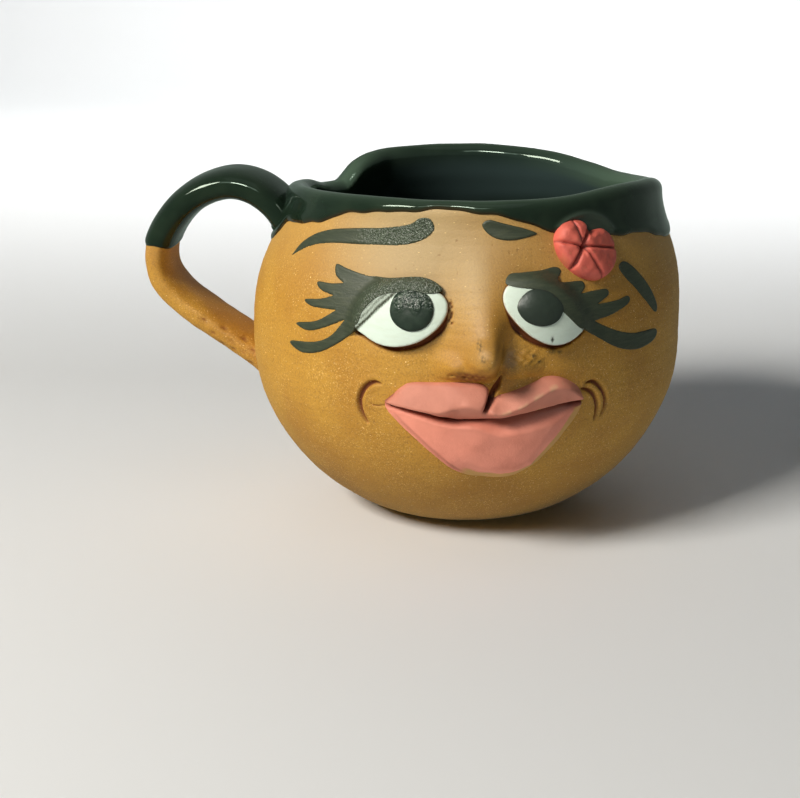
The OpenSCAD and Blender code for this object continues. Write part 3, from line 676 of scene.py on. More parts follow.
# Width and line of each cut by the mouth
SMILE_CUTS = [
    (0.50, [(-19.0, 34.3), (-20.4, 34.4), (-21.8, 33.7), (-22.9, 32.4), (-23.6, 30.4),
            (-23.3, 28.2), (-22.3, 26.4)]),
    (0.42, [(18.9, 33.5), (20.3, 33.6), (21.6, 32.8), (23.3, 30.7), (23.8, 28.4), (23.1, 26.6)]),
    (0.42, [(17.8, 32.6), (19.2, 32.2), (20.7, 31.1), (21.6, 29.4), (21.9, 27.6), (21.7, 26.0)]),
    (0.16, [(-21.5, 30.5), (-20.6, 30.1), (-19.2, 30.2), (-18.4, 30.4)])]
# Place and size of each dark scuff
SCUFFS = [(8.3, 39.8, 0.32), (11.9, 40.3, 0.5), (13.3, 40.0, 0.34), (9.3, 38.7, 0.25)]
SLIT_LINE = [(2.6, 36.4), (1.8, 34.7), (0.9, 33.0), (-0.5, 30.4)]
GAP_DEPTH, SLIT_DEPTH, SMILE_DEPTH, CRUMB_DEPTH, CRUMBS = 1.0, 1.0, 0.8, 0.4, 7


def eye_gap(x, z):
    """Gap pressed round the eyes, widest below them, and how raw the clay in it is, partly as
    painted shade.
    """
    sunk, raw = np.zeros(np.shape(x)), np.zeros(np.shape(x))
    for middle, outline in ((LEFT_EYE, left_eye), (RIGHT_EYE, right_eye)):
        d = outline_distance(x, z, outline)
        low = eased((middle[1] + 2.2 - z) / 4.4)
        sunk = np.maximum(sunk, eased((0.1 + 0.95 * low - d) / 0.3) * (0.3 + 0.7 * low))
        raw = np.maximum(raw, eased((0.05 + 1.0 * low - d) / 0.22) * eased(3 * low))
    return sunk, raw


def slit_cut(x, z):
    """The cut that runs up from the upper lip: widest in its middle."""
    away, share = line_distance(x, z, SLIT_LINE)
    return eased((0.28 + 0.45 * np.sin(share * math.pi) - away) / 0.35)


def pressed(x, z):
    """Relief of the clay round the face's pieces, how raw it is there, partly as painted shade in
    gaps and cuts, and how smudged.
    """
    relief, raw, smudge = (np.zeros(np.shape(x)) for _ in range(3))
    near = (np.abs(x) < 31) & (z > 20) & (z < 56)
    u, v = x[near], z[near]
    sunk, bare = eye_gap(u, v)
    slit = slit_cut(u, v)
    lift = -GAP_DEPTH * sunk - SLIT_DEPTH * slit
    bare = np.maximum(bare, slit)
    dirt = np.zeros_like(u)
    for width, line in SMILE_CUTS:
        line = along(line, np.linspace(0, 1, 24))
        d, share = line_distance(u, v, line)
        reach = width * np.clip(4.6 * share * (1.06 - share), 0.12, 1) ** 0.7
        cut = eased((reach + 0.10 - d) / 0.3)
        lift -= SMILE_DEPTH * cut * min(1, width * 2.2)
        lift += 0.14 * width * hump(d - reach - 0.6, 0.4)
        bare = np.maximum(bare, eased((reach + 0.02 - d) / 0.22))
    for k in range(CRUMBS):
        spot = -6.4 + 0.35 * math.sin(k * 2.3), 49.2 - 0.55 * k
        pit = hump(oval(u, v, spot, (0.8, 1)), 0.3 + 0.06 * math.sin(k * 5))
        lift -= CRUMB_DEPTH * pit
        bare = np.maximum(bare, 0.85 * pit)
    for px, pz, r in SCUFFS:
        dirt = np.maximum(dirt, 0.8 * hump(oval(u, v, (px, pz), (1.5, 1)), r))
    relief[near], raw[near], smudge[near] = lift, bare, dirt
    return relief, raw, smudge


# Bowl
BOWL_STEPS, COAT_STEPS = (0.26, 1.4, 3.6), (0.5, 0.9, 1.6)
FACE_SPAN, SIDE_SPAN = 37.0, 66.0
FOOT_ROWS, FOOT_EDGE = [0.0, 0.12, 0.4, 0.8], [[1.6], [0.5]]
FACE_LOW, FACE_HIGH, FACE_ROW, FLECKED_BELOW = 23.2, 53.0, 0.21, 52


def face_columns(fine, side, back):
    """Angles round the mug, close together over the face, with a step for each stretch."""
    turns = np.concatenate([
        np.arange(-FACE_SPAN, FACE_SPAN, fine), np.arange(FACE_SPAN, SIDE_SPAN, side),
        np.arange(SIDE_SPAN, 360 - SIDE_SPAN, back),
        np.arange(360 - SIDE_SPAN, 360 - FACE_SPAN, side)])
    return np.mod(FACE_ANGLE + turns, 360)


def hollow_r(a, z):
    neck = eased((z - BELLY_Z) / (RIM_Z - BELLY_Z))
    low = np.sqrt(np.clip(1 - ((BELLY_Z - z) / (BELLY_Z - FLOOR)) ** 2, 0, 1))
    return np.where(z > BELLY_Z, skin_r(a, z) - mix(WALL, LIP, neck),
                    (BELLY_R - WALL) * low ** HOLLOW_CURVE)


def lip_ring(a, count):
    """Rounded lip from its outer to its inner side."""
    half = LIP / 2
    rim = rim_z(a) - half
    middle = skin_r(a, rim) - half
    turn = np.linspace(0, 180, count)[1:, None]
    return turned(middle + half * cos(turn), a, rim + half * sin(turn))


def inside(a, rows):
    """Hollow from under the lip to the middle of the floor."""
    rim = rim_z(a) - LIP / 2
    t = np.linspace(0, 1, rows)[1:, None]
    wall = mix(rim, BELLY_Z + 0 * rim, t)
    low = BELLY_Z - (BELLY_Z - FLOOR) * np.sin(np.minimum(t, 0.9995) * math.pi / 2)
    low = np.broadcast_to(low, (rows - 1, len(a)))
    z = np.concatenate([wall, low])
    return turned(hollow_r(a, z), a, z)


def throwing(a, z):
    """Faint rings that the potter's fingers leave."""
    return 0.06 * np.sin(z * 2.1 + 0.4 * sin(a * 2)) + 0.04 * np.sin(z * 4.7 + 1.3 * sin(a))


def uneven(a, z, base):
    """Waves and finger rings of the bare skin; they fade out at the foot."""
    return (0.10 * hand_wave(base, 23) + 0.25 * throwing(a, z)) * eased(z / 3)


def bowl():
    a = face_columns(*BOWL_STEPS)
    rim = rim_z(a) - LIP / 2
    fixed = np.concatenate([FOOT_ROWS, np.linspace(1.4, 23, 30),
                            np.arange(FACE_LOW, FACE_HIGH, FACE_ROW)])
    upper = np.linspace(0, 1, 26)[1:, None]
    z = np.concatenate([np.repeat(fixed[:, None], len(a), 1), mix(FACE_HIGH, rim, upper)])
    turn = np.broadcast_to(a, z.shape)
    x = face_x(turn)
    relief, raw, smudge = pressed(x, z)
    base = skin(turn, z)
    lift = relief + uneven(turn, z, base)
    clay_skin = base + lift[..., None] * outward(turn, z)
    foot = turned(skin_r(a, 0.0) - np.array(FOOT_EDGE), a, 0.0)
    clay_skin[0] = foot[1]
    rings = np.concatenate([foot[:1], clay_skin, lip_ring(a, 8), inside(a, 14)])
    bare = four(raw, smudge, 0, z < FLECKED_BELOW)
    marks = np.zeros((len(rings), len(a), 4))
    marks[1:1 + len(bare)] = bare
    return new_piece("bowl_clay", *skinned(rings, marks), clay, "terracotta", "bowl")


def glaze_edge(a):
    """Height of the lower edge of the glaze, a little uneven, with a dip by the flower."""
    wave = 0.16 * sin(a * 11) + 0.12 * sin(a * 23 + 40) + 0.08 * sin(a * 41)
    return RIM_Z - GLAZE_DROP * glaze_drop(a) + wave


def over_lip(a, s):
    """Place on the outer skin s below the lip, or, from 0 up, that far over the lip."""
    half = LIP / 2
    rim = rim_z(a) - half
    turn = np.degrees(np.clip(s, 0, math.pi * half) / half)
    lip = turned(skin_r(a, rim) - half + half * cos(turn), a, rim + half * sin(turn))
    return np.where((s > 0)[..., None], lip, skin(a, rim + np.minimum(s, 0)))


FLOWER, FLOWER_SIZE = (21.2, 57.2), (14.0, 11.0)
COAT_T, EDGE_BEAD, FLOWER_POOL, COAT_RIPPLE = 0.46, 0.10, 0.35, 0.03
EDGE_SUNK, BACK_SUNK = 0.25, 0.1
# Angles of the bands where the glaze runs thin and is painted lighter as a painted reflection
RIGHT_THIN, LEFT_THIN = 22, 152


def flower_ring(x, z):
    """Place across the ring where glaze pooled round the flower, from 0 at its inner side."""
    return (oval(x, z, FLOWER, FLOWER_SIZE) - 0.5) * 12


def run_thin(a, past):
    """How thin the glaze ran, and where it is painted lighter as a painted reflection: on the
    lip's crest, inside it, and outside it at the left.
    """
    at_right, at_left = hump(apart(a, RIGHT_THIN), 34), hump(apart(a, LEFT_THIN), 26)
    crest = hump(past - 3.0, 1.3) * (0.45 + 0.4 * at_right)
    inner = eased((past - 2.6) / 1.2) * eased((8.6 - past) / 2) * np.maximum(at_right, at_left)
    outer = hump(past - 1.4, 2.0) * at_left
    return np.maximum(np.maximum(crest, 0.9 * inner), outer)


def rim_coat():
    a = face_columns(*COAT_STEPS)
    half, low = LIP / 2, glaze_edge(a)
    below = low - rim_z(a) + half
    start = np.where(below < 0, below, half * np.arcsin(np.clip(below / half, 0, 0.6)))
    s = mix(start, math.pi * half, np.linspace(0, 1, 60)[:, None] ** 1.4)
    turn = np.broadcast_to(a, s.shape)
    outer = over_lip(turn, s)
    z = outer[..., 2]
    under = np.concatenate([outer, inside(a, 40)])
    across = np.roll(under, -1, 1) - np.roll(under, 1, 1)
    facing = np.cross(across, np.gradient(under, axis=0))
    facing /= np.linalg.norm(facing, axis=-1, keepdims=True)
    climb = np.zeros(under.shape[:2])
    climb[1:] = np.cumsum(np.linalg.norm(np.diff(under, axis=0), axis=-1), 0)
    ring = flower_ring(face_x(turn), z)
    pool = hump(ring - 0.75, 0.55) * eased((z - low - 0.6) / 0.8) * (s < 0)
    coat = COAT_T * (1 - np.exp(-climb / 0.35)) + EDGE_BEAD * hump(climb - 1.0, 0.7)
    coat[:len(z)] += FLOWER_POOL * pool
    hollow = (np.arange(len(under)) > len(z) + 2)[:, None]
    coat += COAT_RIPPLE * np.sin(under[..., 2] * 1.5) * hollow
    coat += np.where(hollow, 0.02, 0.04) * hand_wave(under, 11)
    rings = under + facing * coat[..., None]
    rings[0] = under[0] - facing[0] * EDGE_SUNK
    back = (under - facing * BACK_SUNK)[::-8]
    shade = four(run_thin(a, climb + start), hump(climb, 0.45))
    shade[:len(z), :, 2] = np.maximum(pool, eased((1.15 - ring) / 0.4) * (s < 0))
    marks = np.concatenate([np.zeros((len(back), len(a), 4)), shade])
    new_piece("hair_glaze_coat", *skinned(np.concatenate([back, rings]), marks), glaze,
              "dark_glaze", "hair_glaze")


# Handle
HANDLE_LOW, HANDLE_TOP, HANDLE_REACH = 27.5, 63.0, 61.0
STRAP_W, STRAP_T, STRAP_CURVE, ROOT_SPREAD = 14.4, 5.2, 2.7, 1.9
HEAD_RUN, TAIL_RUN, WALL_COVER = 1.8, 2.4, 0.6
STRAP_COAT, COAT_END, DENT_DEPTH = 0.42, 0.5, 0.35
# Share of the handle's reach, and of the way up from its lower end to its top
HANDLE_ROWS = [
    (0, 0.77), (0.11, 0.89), (0.27, 0.975), (0.46, 1), (0.68, 0.945), (0.86, 0.83),
    (0.985, 0.665), (0.985, 0.49), (0.84, 0.345), (0.6, 0.21), (0.38, 0.1), (0.17, 0)]


def new_tree(name, output, inputs):
    """The bench of a new geometry tree, and the terms of its named inputs."""
    tree = bpy.data.node_groups.new(name, "GeometryNodeTree")
    for label, kind in inputs.items():
        tree.interface.new_socket(label, in_out="INPUT", socket_type="NodeSocket" + kind)
    tree.interface.new_socket(output, in_out="OUTPUT", socket_type="NodeSocketGeometry")
    b = Bench(tree)
    given = b.node("NodeGroupInput")
    return b, [b.out_of(given, label) for label in inputs]


def end_tree(b, shape, look):
    """Ends a tree in plain geometry that carries its finish."""
    real = b.node("GeometryNodeRealizeInstances", {0: shape})
    done = b.node("GeometryNodeSetMaterial", {"Geometry": real, "Material": look})
    last = b.tree.nodes.new("NodeGroupOutput")
    b.tree.links.new(done.socket, last.inputs[0])
    return b.tree


def strap_tree():
    """Geometry nodes that sweep a rounded strap section along the path they are given."""
    b, (path, width, thick, spread, coat, end, look) = new_tree("strap_along_path", "Strap", {
        "Path": "Geometry", "Width": "Float", "Thickness": "Float", "Root Spread": "Float",
        "Coat": "Float", "End": "Float", "Finish": "Material"})
    grid = b.node("GeometryNodeMeshGrid", {"Size X": 1.0, "Size Y": 1.0,
                                           "Vertices X": 190, "Vertices Y": 65})
    spot = b.node("ShaderNodeSeparateXYZ", {0: b.node("GeometryNodeInputPosition")})
    share, lap = spot + 0.5, b.out_of(spot, "Y") + 0.5
    turn = lap * math.tau
    edge_wave = b.maths("SINE", turn * 3 + 1.0) * 0.004
    u = share * (end + edge_wave * (end < 0.99))
    found = b.node("GeometryNodeSampleCurve", {"Curves": path, "Factor": u}, "Position",
                   mode="FACTOR")
    side = (0.0, 1.0, 0.0)
    out = b.vector("NORMALIZE", b.vector("CROSS_PRODUCT", side, b.out_of(found, "Tangent")))

    def rounded(c):
        return b.maths("SIGN", c) * abs(c) ** (2 / STRAP_CURVE)
    near = b.maths("MAXIMUM", 1 - (1 - u) / 0.13, 0)
    flare = spread * near * near * near
    rest = b.maths("MINIMUM", (1 - share) * 45, 1)
    grow = coat * rest ** 0.5 - (1 - rest) * 0.12 * MM
    across = (width / 2 + flare * 0.25 + grow) * rounded(b.maths("COSINE", turn))
    deep = (thick / 2 + flare + grow) * rounded(b.maths("SINE", turn))
    place = b.vector("ADD", found, b.vector("ADD", b.scaled(side, across), b.scaled(out, deep)))
    moved = b.node("GeometryNodeSetPosition", {"Geometry": grid, "Position": place})
    closed = b.node("GeometryNodeMergeByDistance", {"Geometry": moved, "Distance": 0.005 * MM})
    return end_tree(b, b.node("GeometryNodeSetShadeSmooth", {0: closed}), look)


def grown(name, source, tree, inputs):
    """Runs a tree on an object, with inputs set by name, and keeps what it makes."""
    maker = source.modifiers.new("grow", "NODES")
    maker.node_group = tree
    ids = {item.name: item.identifier for item in tree.interface.items_tree
           if item.in_out == "INPUT"}
    for label, value in inputs.items():
        maker[ids[label]] = value
    shot = source.evaluated_get(bpy.context.evaluated_depsgraph_get())
    mesh = bpy.data.meshes.new_from_object(shot)
    source.modifiers.remove(maker)
    mesh.name = name
    return put(name, mesh)


def run_on(end, before, length):
    """A point further on past the end of a path, where it runs flatter."""
    ahead = (end - before) * (1, 1, 0.3)
    return end + ahead / np.linalg.norm(ahead) * length


def path_points():
    """Middle line of the strap, run on a little into the wall at both ends."""
    rows = along(HANDLE_ROWS, np.linspace(0, 1, 120))
    start = skin_r(180.0, np.array(HANDLE_TOP))
    x = -mix(start, HANDLE_REACH, rows[:, 0])
    z = mix(HANDLE_LOW, HANDLE_TOP, rows[:, 1])
    line = np.stack([x, 0 * x, z], -1)
    line = np.vstack([run_on(line[0], line[1], HEAD_RUN), line,
                      run_on(line[-1], line[-2], TAIL_RUN)])
    wall = hollow_r(180.0, line[:, 2] - STRAP_T / 2) + WALL_COVER
    line[:, 0] = np.minimum(line[:, 0], -wall)
    steps = np.linalg.norm(np.diff(line, axis=0), axis=1)
    return line[np.append(True, steps > 0.02)]


def strap_path():
    line = path_points() * MM
    curve = bpy.data.curves.new("strap_path", "CURVE")
    curve.dimensions = "3D"
    run = curve.splines.new("POLY")
    run.points.add(len(line) - 1)
    run.points.foreach_set("co", np.column_stack([line, np.ones(len(line))]).ravel())
    return put("strap_path", curve)


# Share of the handle's length, place across its edge and length of each dent
TOOL_DENTS = [
    (0.80, -0.3, 0.9), (0.83, 0.2, 0.7), (0.85, -0.6, 0.8), (0.86, 0.6, 0.6), (0.88, -0.1, 0.9),
    (0.90, 0.4, 0.7), (0.905, -0.7, 0.8), (0.92, 0.1, 0.6), (0.935, -0.4, 0.8), (0.945, 0.6, 0.7)]


def vertex_rows(mesh, what):
    rows = np.empty(len(mesh.vertices) * 3)
    mesh.vertices.foreach_get(what, rows)
    return rows.reshape(-1, 3)


def dented(piece, line):
    """Presses small tool marks into the front edge of the lower arm."""
    mesh = piece.data
    p = vertex_rows(mesh, "co") / MM
    lift = 0.12 * hand_wave(p, 12) + 0.05 * hand_wave(p, 4.7)
    raw = np.zeros(len(p))
    for share, side, length in TOOL_DENTS:
        i = int(share * (len(line) - 1))
        ahead = line[i + 1] - line[i - 1]
        ahead /= np.linalg.norm(ahead)
        out = np.array([ahead[2], 0, -ahead[0]])
        off = p - line[i] - side * STRAP_T / 2 * out
        d = np.hypot(off @ ahead / length, (off @ out - 0.3 * (off @ ahead) ** 2) / 0.3)
        d = np.where(p[:, 1] < -STRAP_W / 4, d, 9)
        lift -= DENT_DEPTH * hump(d)
        raw = np.maximum(raw, 0.8 * hump(d, 0.8))
    paint_on(mesh, four(raw))
    moved = p + vertex_rows(mesh, "normal") * lift[:, None]
    mesh.vertices.foreach_set("co", (moved * MM).ravel())
    mesh.update()


def close_ends(piece):
    work = bmesh.new()
    work.from_mesh(piece.data)
    rim = [edge for edge in work.edges if edge.is_boundary]
    bmesh.ops.holes_fill(work, edges=rim, sides=0)
    bmesh.ops.recalc_face_normals(work, faces=work.faces)
    work.to_mesh(piece.data)
    work.free()


def handle():
    tree = strap_tree()
    path = strap_path()
    sizes = {"Width": STRAP_W * MM, "Thickness": STRAP_T * MM, "Root Spread": ROOT_SPREAD * MM}
    strap = grown("handle_strap", path, tree, {**sizes, "Coat": 0.0, "End": 1.0,
                                               "Finish": clay})
    dented(strap, path_points())
    close_ends(strap)
    settle(strap, clay, "terracotta", "handle")
    coat = grown("handle_glaze_coat", path, tree, {**sizes, "Coat": STRAP_COAT * MM,
                                                   "End": COAT_END, "Finish": glaze})
    close_ends(coat)
    settle(coat, glaze, "dark_glaze", "handle_glaze")
    bpy.data.objects.remove(path)


# Eyes
EYE_SUNK, IRIS_FOOT = 1.4, 0.6
NO_SPECK, RIGHT_SPECK = (-30.0, 0.0), (11.1, 42.8)


def eye_top(middle, x, z):
    return EYE_T - ((x - middle[0]) ** 2 + (z - middle[1]) ** 2) / (2 * EYE_DOME)


def beyond(x, z, line, middle):
    """Millimetres past a straight line, counted away from the middle of the eye."""
    start, end = np.array(line[0][:2]), np.array(line[-1][:2])
    ahead = (end - start) / np.linalg.norm(end - start)
    sides = [(u - start[0]) * ahead[1] - (v - start[1]) * ahead[0]
             for u, v in ((x, z), middle[:2])]
    return -sides[0] * np.sign(sides[1])


def eyes():
    for side, middle, outline, cut_edge, speck in (
            ("left", LEFT_EYE, left_eye, LEFT_CUT_EDGE, NO_SPECK),
            ("right", RIGHT_EYE, right_eye, RIGHT_CUT_EDGE, RIGHT_SPECK)):
        def top(x, z, d):
            return eye_top(middle, x, z) - 0.5 * (1 - rounded_edge(d, 0.25))

        def marks(x, z, d):
            past = beyond(x, z, cut_edge, middle)
            streaks = 0.64 + 0.26 * np.sin(past * 8 + 0.8 * np.sin(x * 1.7))
            band = eased((past + 0.35) / 0.3) * (streaks + 0.5 * hump(past, 0.3))
            return eased(1 - d / 0.13), band, eased(1.6 - oval(x, z, speck, (0.22, 0.42)))
        laid(side + "_eyeball", white, "white_slip", side + "_eye", outline, top, marks,
             step=0.28, floor=-EYE_SUNK)
    for side, middle, outline, lift in (
            ("left", LEFT_EYE, left_iris, 0.75), ("right", RIGHT_EYE, right_iris, 0.55)):
        def dome(x, z, d):
            return eye_top(middle, x, z) + 0.1 + lift * rounded_edge(d, 3.6)

        # the wet top of the left iris, which gets painted glints
        def wet(x, z, d):
            speckled = eased((z - 47.2 - 0.5 * np.sin(x * 2.2)) / 1.6) * (side == "left")
            return speckled, eased(1 - d / 0.35), 0.6 * (side == "right")
        laid(side + "_iris_dome", iris, "iris_glaze", side + "_iris", outline, dome, wet,
             step=0.25, floor=IRIS_FOOT)


# Lids, lashes and brows
LEFT_LID = [
    (-25.6, 52.2), (-22.3, 52.9), (-17.8, 52.8), (-12.3, 53.3), (-9.3, 52.6), (-8.0, 51.4),
    (-9.4, 50.6), (-13.0, 50.6), (-17.8, 50.1), (-20.4, 48.9), (-22.3, 46.9), (-23.4, 44.6),
    (-24.8, 45.4), (-26.1, 48.9)]
RIGHT_LID = [
    (3.6, 52.4), (4.5, 53.9), (7.0, 54.1), (10.6, 54.3), (13.7, 54.7), (14.9, 53.9), (13.8, 52.2),
    (15.6, 49.2), (17.9, 45.2), (16.9, 44.0), (14.2, 46.3), (12.4, 48.2), (11.6, 49.9),
    (9.2, 51.0), (5.4, 51.6)]
LEFT_LASHES = [
    (-19.6, 52.4), (-25.0, 53.1), (-28.4, 53.6), (-31.3, 54.0), (-30.8, 52.2),
    (-28.6, 51.1, 1), (-31.4, 50.7), (-35.1, 50.5), (-33.9, 49.3), (-30.4, 48.7, 1),
    (-33.2, 47.8), (-37.5, 47.0), (-35.2, 46.1), (-29.2, 46.3, 1), (-33.6, 43.8),
    (-39.0, 42.5), (-36.0, 41.7), (-32.4, 42.5), (-27.0, 44.8, 1), (-29.8, 41.7),
    (-33.6, 40.0), (-40.6, 38.8), (-37.4, 37.4), (-32.6, 38.2), (-27.9, 40.6),
    (-23.9, 43.6, 1), (-23.2, 46.6), (-20.6, 49.9)]
RIGHT_LASHES = [
    (12.2, 51.9), (15.4, 52.0), (18.9, 51.9), (19.4, 50.8), (18.5, 49.8, 1), (21.4, 50.0),
    (24.2, 49.9), (24.5, 48.8), (21.9, 47.6, 1), (26.4, 47.6), (29.5, 47.9), (29.4, 46.6),
    (25.2, 45.3), (20.8, 44.7, 1), (25.2, 42.5), (30.4, 40.9), (37.2, 40.4), (38.3, 39.1),
    (36.2, 37.9), (31.4, 37.6), (26.4, 38.8), (21.6, 41.4), (17.6, 43.9, 1), (14.4, 47.2),
    (11.4, 50.3)]
LEFT_BROW = [
    (-46.4, 53.3, 1), (-44.2, 56.0), (-40.0, 58.2), (-34.8, 59.6), (-28.0, 60.5),
    (-21.0, 61.2), (-15.6, 62.1), (-13.2, 63.3), (-11.0, 63.2), (-10.2, 61.4),
    (-12.4, 59.6), (-17.0, 58.4), (-25.0, 57.9), (-33.4, 57.3), (-40.0, 56.0)]
INNER_BROW = [
    (-0.4, 62.3), (1.0, 63.2), (4.2, 62.5), (8.1, 61.6), (10.8, 60.6), (9.6, 60.1),
    (6.4, 59.6), (3.4, 59.7), (1.0, 60.6)]
OUTER_BROW = [
    (28.5, 53.2), (30.2, 53.9), (32.4, 52.7), (35.2, 49.9), (37.4, 46.9), (38.5, 44.3),
    (37.6, 43.4), (34.8, 45.9), (31.6, 49.2), (29.2, 51.6)]


def brushed(x, z, d):
    """A brush stroke of slip: thin, its edge a little raised."""
    return 0.22 * rounded_edge(d, 0.22) + 0.05 * hump(d - 0.3, 0.2) - 0.06


def brush_marks(wet_from=0, wet_to=0):
    """Paint of a stroke: how glossy it is along x, where it is also painted lighter as a painted
    sheen, and how thin the slip is at its edge.
    """
    def marks(x, z, d):
        wet = eased((x - wet_from) / (wet_to - wet_from)) if wet_to else 0 * x
        return wet, eased(1 - d / 0.3)
    return marks


def lids_and_lashes():
    """Lids and lashes: one thin skin of slip that climbs from the clay over the eyeball."""
    for name, node, rows, middle, eye, wet in (
            ("left_lid_slab", "left_lid", LEFT_LID, LEFT_EYE, left_eye, (-26, -21)),
            ("right_lid_slab", "right_lid", RIGHT_LID, RIGHT_EYE, right_eye, ()),
            ("left_lash_strokes", "left_lashes", LEFT_LASHES, LEFT_EYE, left_eye, ()),
            ("right_lash_strokes", "right_lashes", RIGHT_LASHES, RIGHT_EYE, right_eye, ())):
        lid = "lid" in name

        def draped(x, z, d):
            coat = mix(brushed(x, z, d), 0.07 + 0.06 * rounded_edge(d, 2.5), 0.8 * lid)
            climb = eased((3.4 - outline_distance(x, z, eye)) / 3.6)
            over = eye_top(middle, x, z) + 0.13 + lid * 0.06 * rounded_edge(d, 2.5)
            return mix(coat, over, climb)
        laid(name, slip, "dark_slip", node, closed_outline(rows), draped, brush_marks(*wet))


def over_nose(x, z, d):
    return brushed(x, z, d) + np.maximum(nose_height(x, z), 0)


def brows():
    for name, node, rows, wet in (
            ("left_brow_stroke", "left_brow", LEFT_BROW, (-31, -20)),
            ("inner_brow_stroke", "right_brow_inner", INNER_BROW, ()),
            ("outer_brow_stroke", "right_brow_outer", OUTER_BROW, ())):
        laid(name, slip, "dark_slip", node, closed_outline(rows), over_nose, brush_marks(*wet))


# Nose

# Height on the face and how far the ridge of the nose stands out there
NOSE_ROWS = [
    (35.1, 0.0), (35.9, 0.9), (36.9, 2.5), (38.0, 4.3), (39.3, 5.2), (41.0, 5.3), (43.0, 4.4),
    (45.5, 3.1), (48.0, 2.2), (51.0, 1.5), (54.0, 0.95), (58.0, 0.45), (62.5, 0.0)]
NOSE_LEVELS = [36, 38.5, 41, 44, 47, 51, 56, 62]
NOSE_LEFT = [4.4, 4.6, 4.3, 4.4, 4.8, 5.4, 6.0, 6.5]
NOSE_RIGHT = [2.2, 2.5, 2.4, 3.1, 4.2, 5.6, 6.4, 6.6]
NOSE_MIDDLE = [-0.9, -0.5, -0.2, -0.1, -0.1, -0.1, 0.0, 0.0]
NOSE_X, NOSE_Z, NOSE_SUNK = (-12.5, 11.0), (33.5, 64.0), 2.0
# Depth and place of each rubbed line under the nose
RUB_LINES = [(0.9, (-6.0, 37.0)), (0.7, (-4.0, 36.8)), (0.8, (-2.6, 36.9)), (0.6, (-0.9, 36.2))]


def nose_height(x, z):
    rows = np.array(NOSE_ROWS)
    ridge = np.interp(z, rows[:, 0], rows[:, 1])
    left, right, middle = (np.interp(z, NOSE_LEVELS, row)
                           for row in (NOSE_LEFT, NOSE_RIGHT, NOSE_MIDDLE))
    off = x - middle
    steep = 2 + 1.6 * hump(z - 40.5, 3.0)
    bridge = ridge * np.where(off < 0, hump(off, left), np.exp(-np.abs(off / right) ** steep))
    left_wing = 2.7 * hump(oval(x, z, (-5.2, 38.4), (2.7, 2.0)))
    right_wing = 1.9 * hump(oval(x, z, (5.0, 38.1), (3.61, 1.9)))
    wing = np.maximum(left_wing, right_wing) * eased((z - 35.6) / 0.8)
    bulb = 1.8 * hump(oval(x, z, (-0.5, 40.7), (2.6, 2.4)) ** 2.2)
    hollow = 1.2 * hump(oval(x, z, (2.4, 37.0), (0.8, 1.2)))
    return np.log(np.exp(bridge * 1.4) + np.exp(wing * 1.4) - 1) / 1.4 + bulb - hollow - 0.07


def smoothed(grid, times):
    for _ in range(times):
        pad = np.pad(grid, 1, mode="edge")
        grid = (pad[:-2, 1:-1] + pad[2:, 1:-1] + pad[1:-1, :-2] + pad[1:-1, 2:] + 2 * grid) / 6
    return grid


def nose():
    x, z = np.meshgrid(np.linspace(*NOSE_X, 190), np.linspace(*NOSE_Z, 200))
    lift = smoothed(nose_height(x, z), 4)
    # rough, rubbed clay under the nose, also painted darker there as painted shade
    rubbed = eased(1.4 * hump(oval(x, z, (-2.6, 36.7), (3.19, 1.1))))
    lumpy = hump(oval(x, z, (7.0, 39.2), (3.0, 2.0)))
    torn = np.sin(x * 3.1 + z * 2) * np.sin(z * 5 - x * 1.7) + 0.5 * np.sin(x * 7 + z * 4)
    lift += 0.07 * rubbed * torn
    lift += 0.13 * lumpy * np.sin(x * 2.9 + np.sin(z * 3)) * np.sin(z * 3.6)
    for depth, (px, pz) in RUB_LINES:
        lift -= 0.7 * depth * hump(np.hypot((x - px) / 1.9, z - pz - 0.15 * (x - px)), 0.30)
    rim = np.minimum(np.minimum(x - NOSE_X[0], NOSE_X[1] - x),
                     np.minimum(z - NOSE_Z[0], NOSE_Z[1] - z))
    relief, bare, smudge = pressed(x, z)
    a = face_turn(x)
    lift = np.maximum(lift, 0.02) + relief + uneven(a, z, skin(a, z))
    lift -= 0.07 * (1 - eased(rim / 2.6)) + 0.6 * (1 - eased(rim / 0.6))
    top = on_face(x, z, lift)
    back = on_face(x[:, ::-9], z[:, ::-9], np.full_like(x[:, ::-9], -NOSE_SUNK))
    smear = np.maximum(hump(np.hypot((x + 1.5) * 1.7, (z - 42.7) * 0.8), 0.7),
                       hump(np.hypot((x + 1.1) * 1.5, (z - 40.9) * 0.9), 0.5))
    smear *= eased(0.5 + 0.6 * np.sin(x * 8 + z * 3) * np.sin(z * 6 - x * 4))
    # painted shade beside and below the nose's tip, added to the smudges
    shade = np.maximum(0.5 * hump(oval(x, z, (3.6, 37.5), (1.6, 1.7))),
                       0.4 * hump(oval(x, z, (2.7, 41.3), (0.5, 1.8))))
    smear = np.maximum(np.maximum(smear, smudge), shade)
    # burnished clay on the nose, painted paler as painted sheen only on its lit left side
    burnish = hump(x + 1.6, 3.4) * eased((z - 39) / 2) * eased((62 - z) / 10)
    # painted shade: the raw clay colour darkens the rough underside of the nose
    raw = np.maximum(0.8 * rubbed * eased(0.7 - 0.3 * torn), bare)
    front = four(raw, smear, 0.8 * burnish * eased((1.6 - x) / 1.6))
    marks = np.concatenate([front, np.zeros((len(x), back.shape[1], 4))], 1)
    new_piece("nose_lump", *skinned(np.concatenate([top, back], 1), marks), clay,
              "terracotta", "nose")


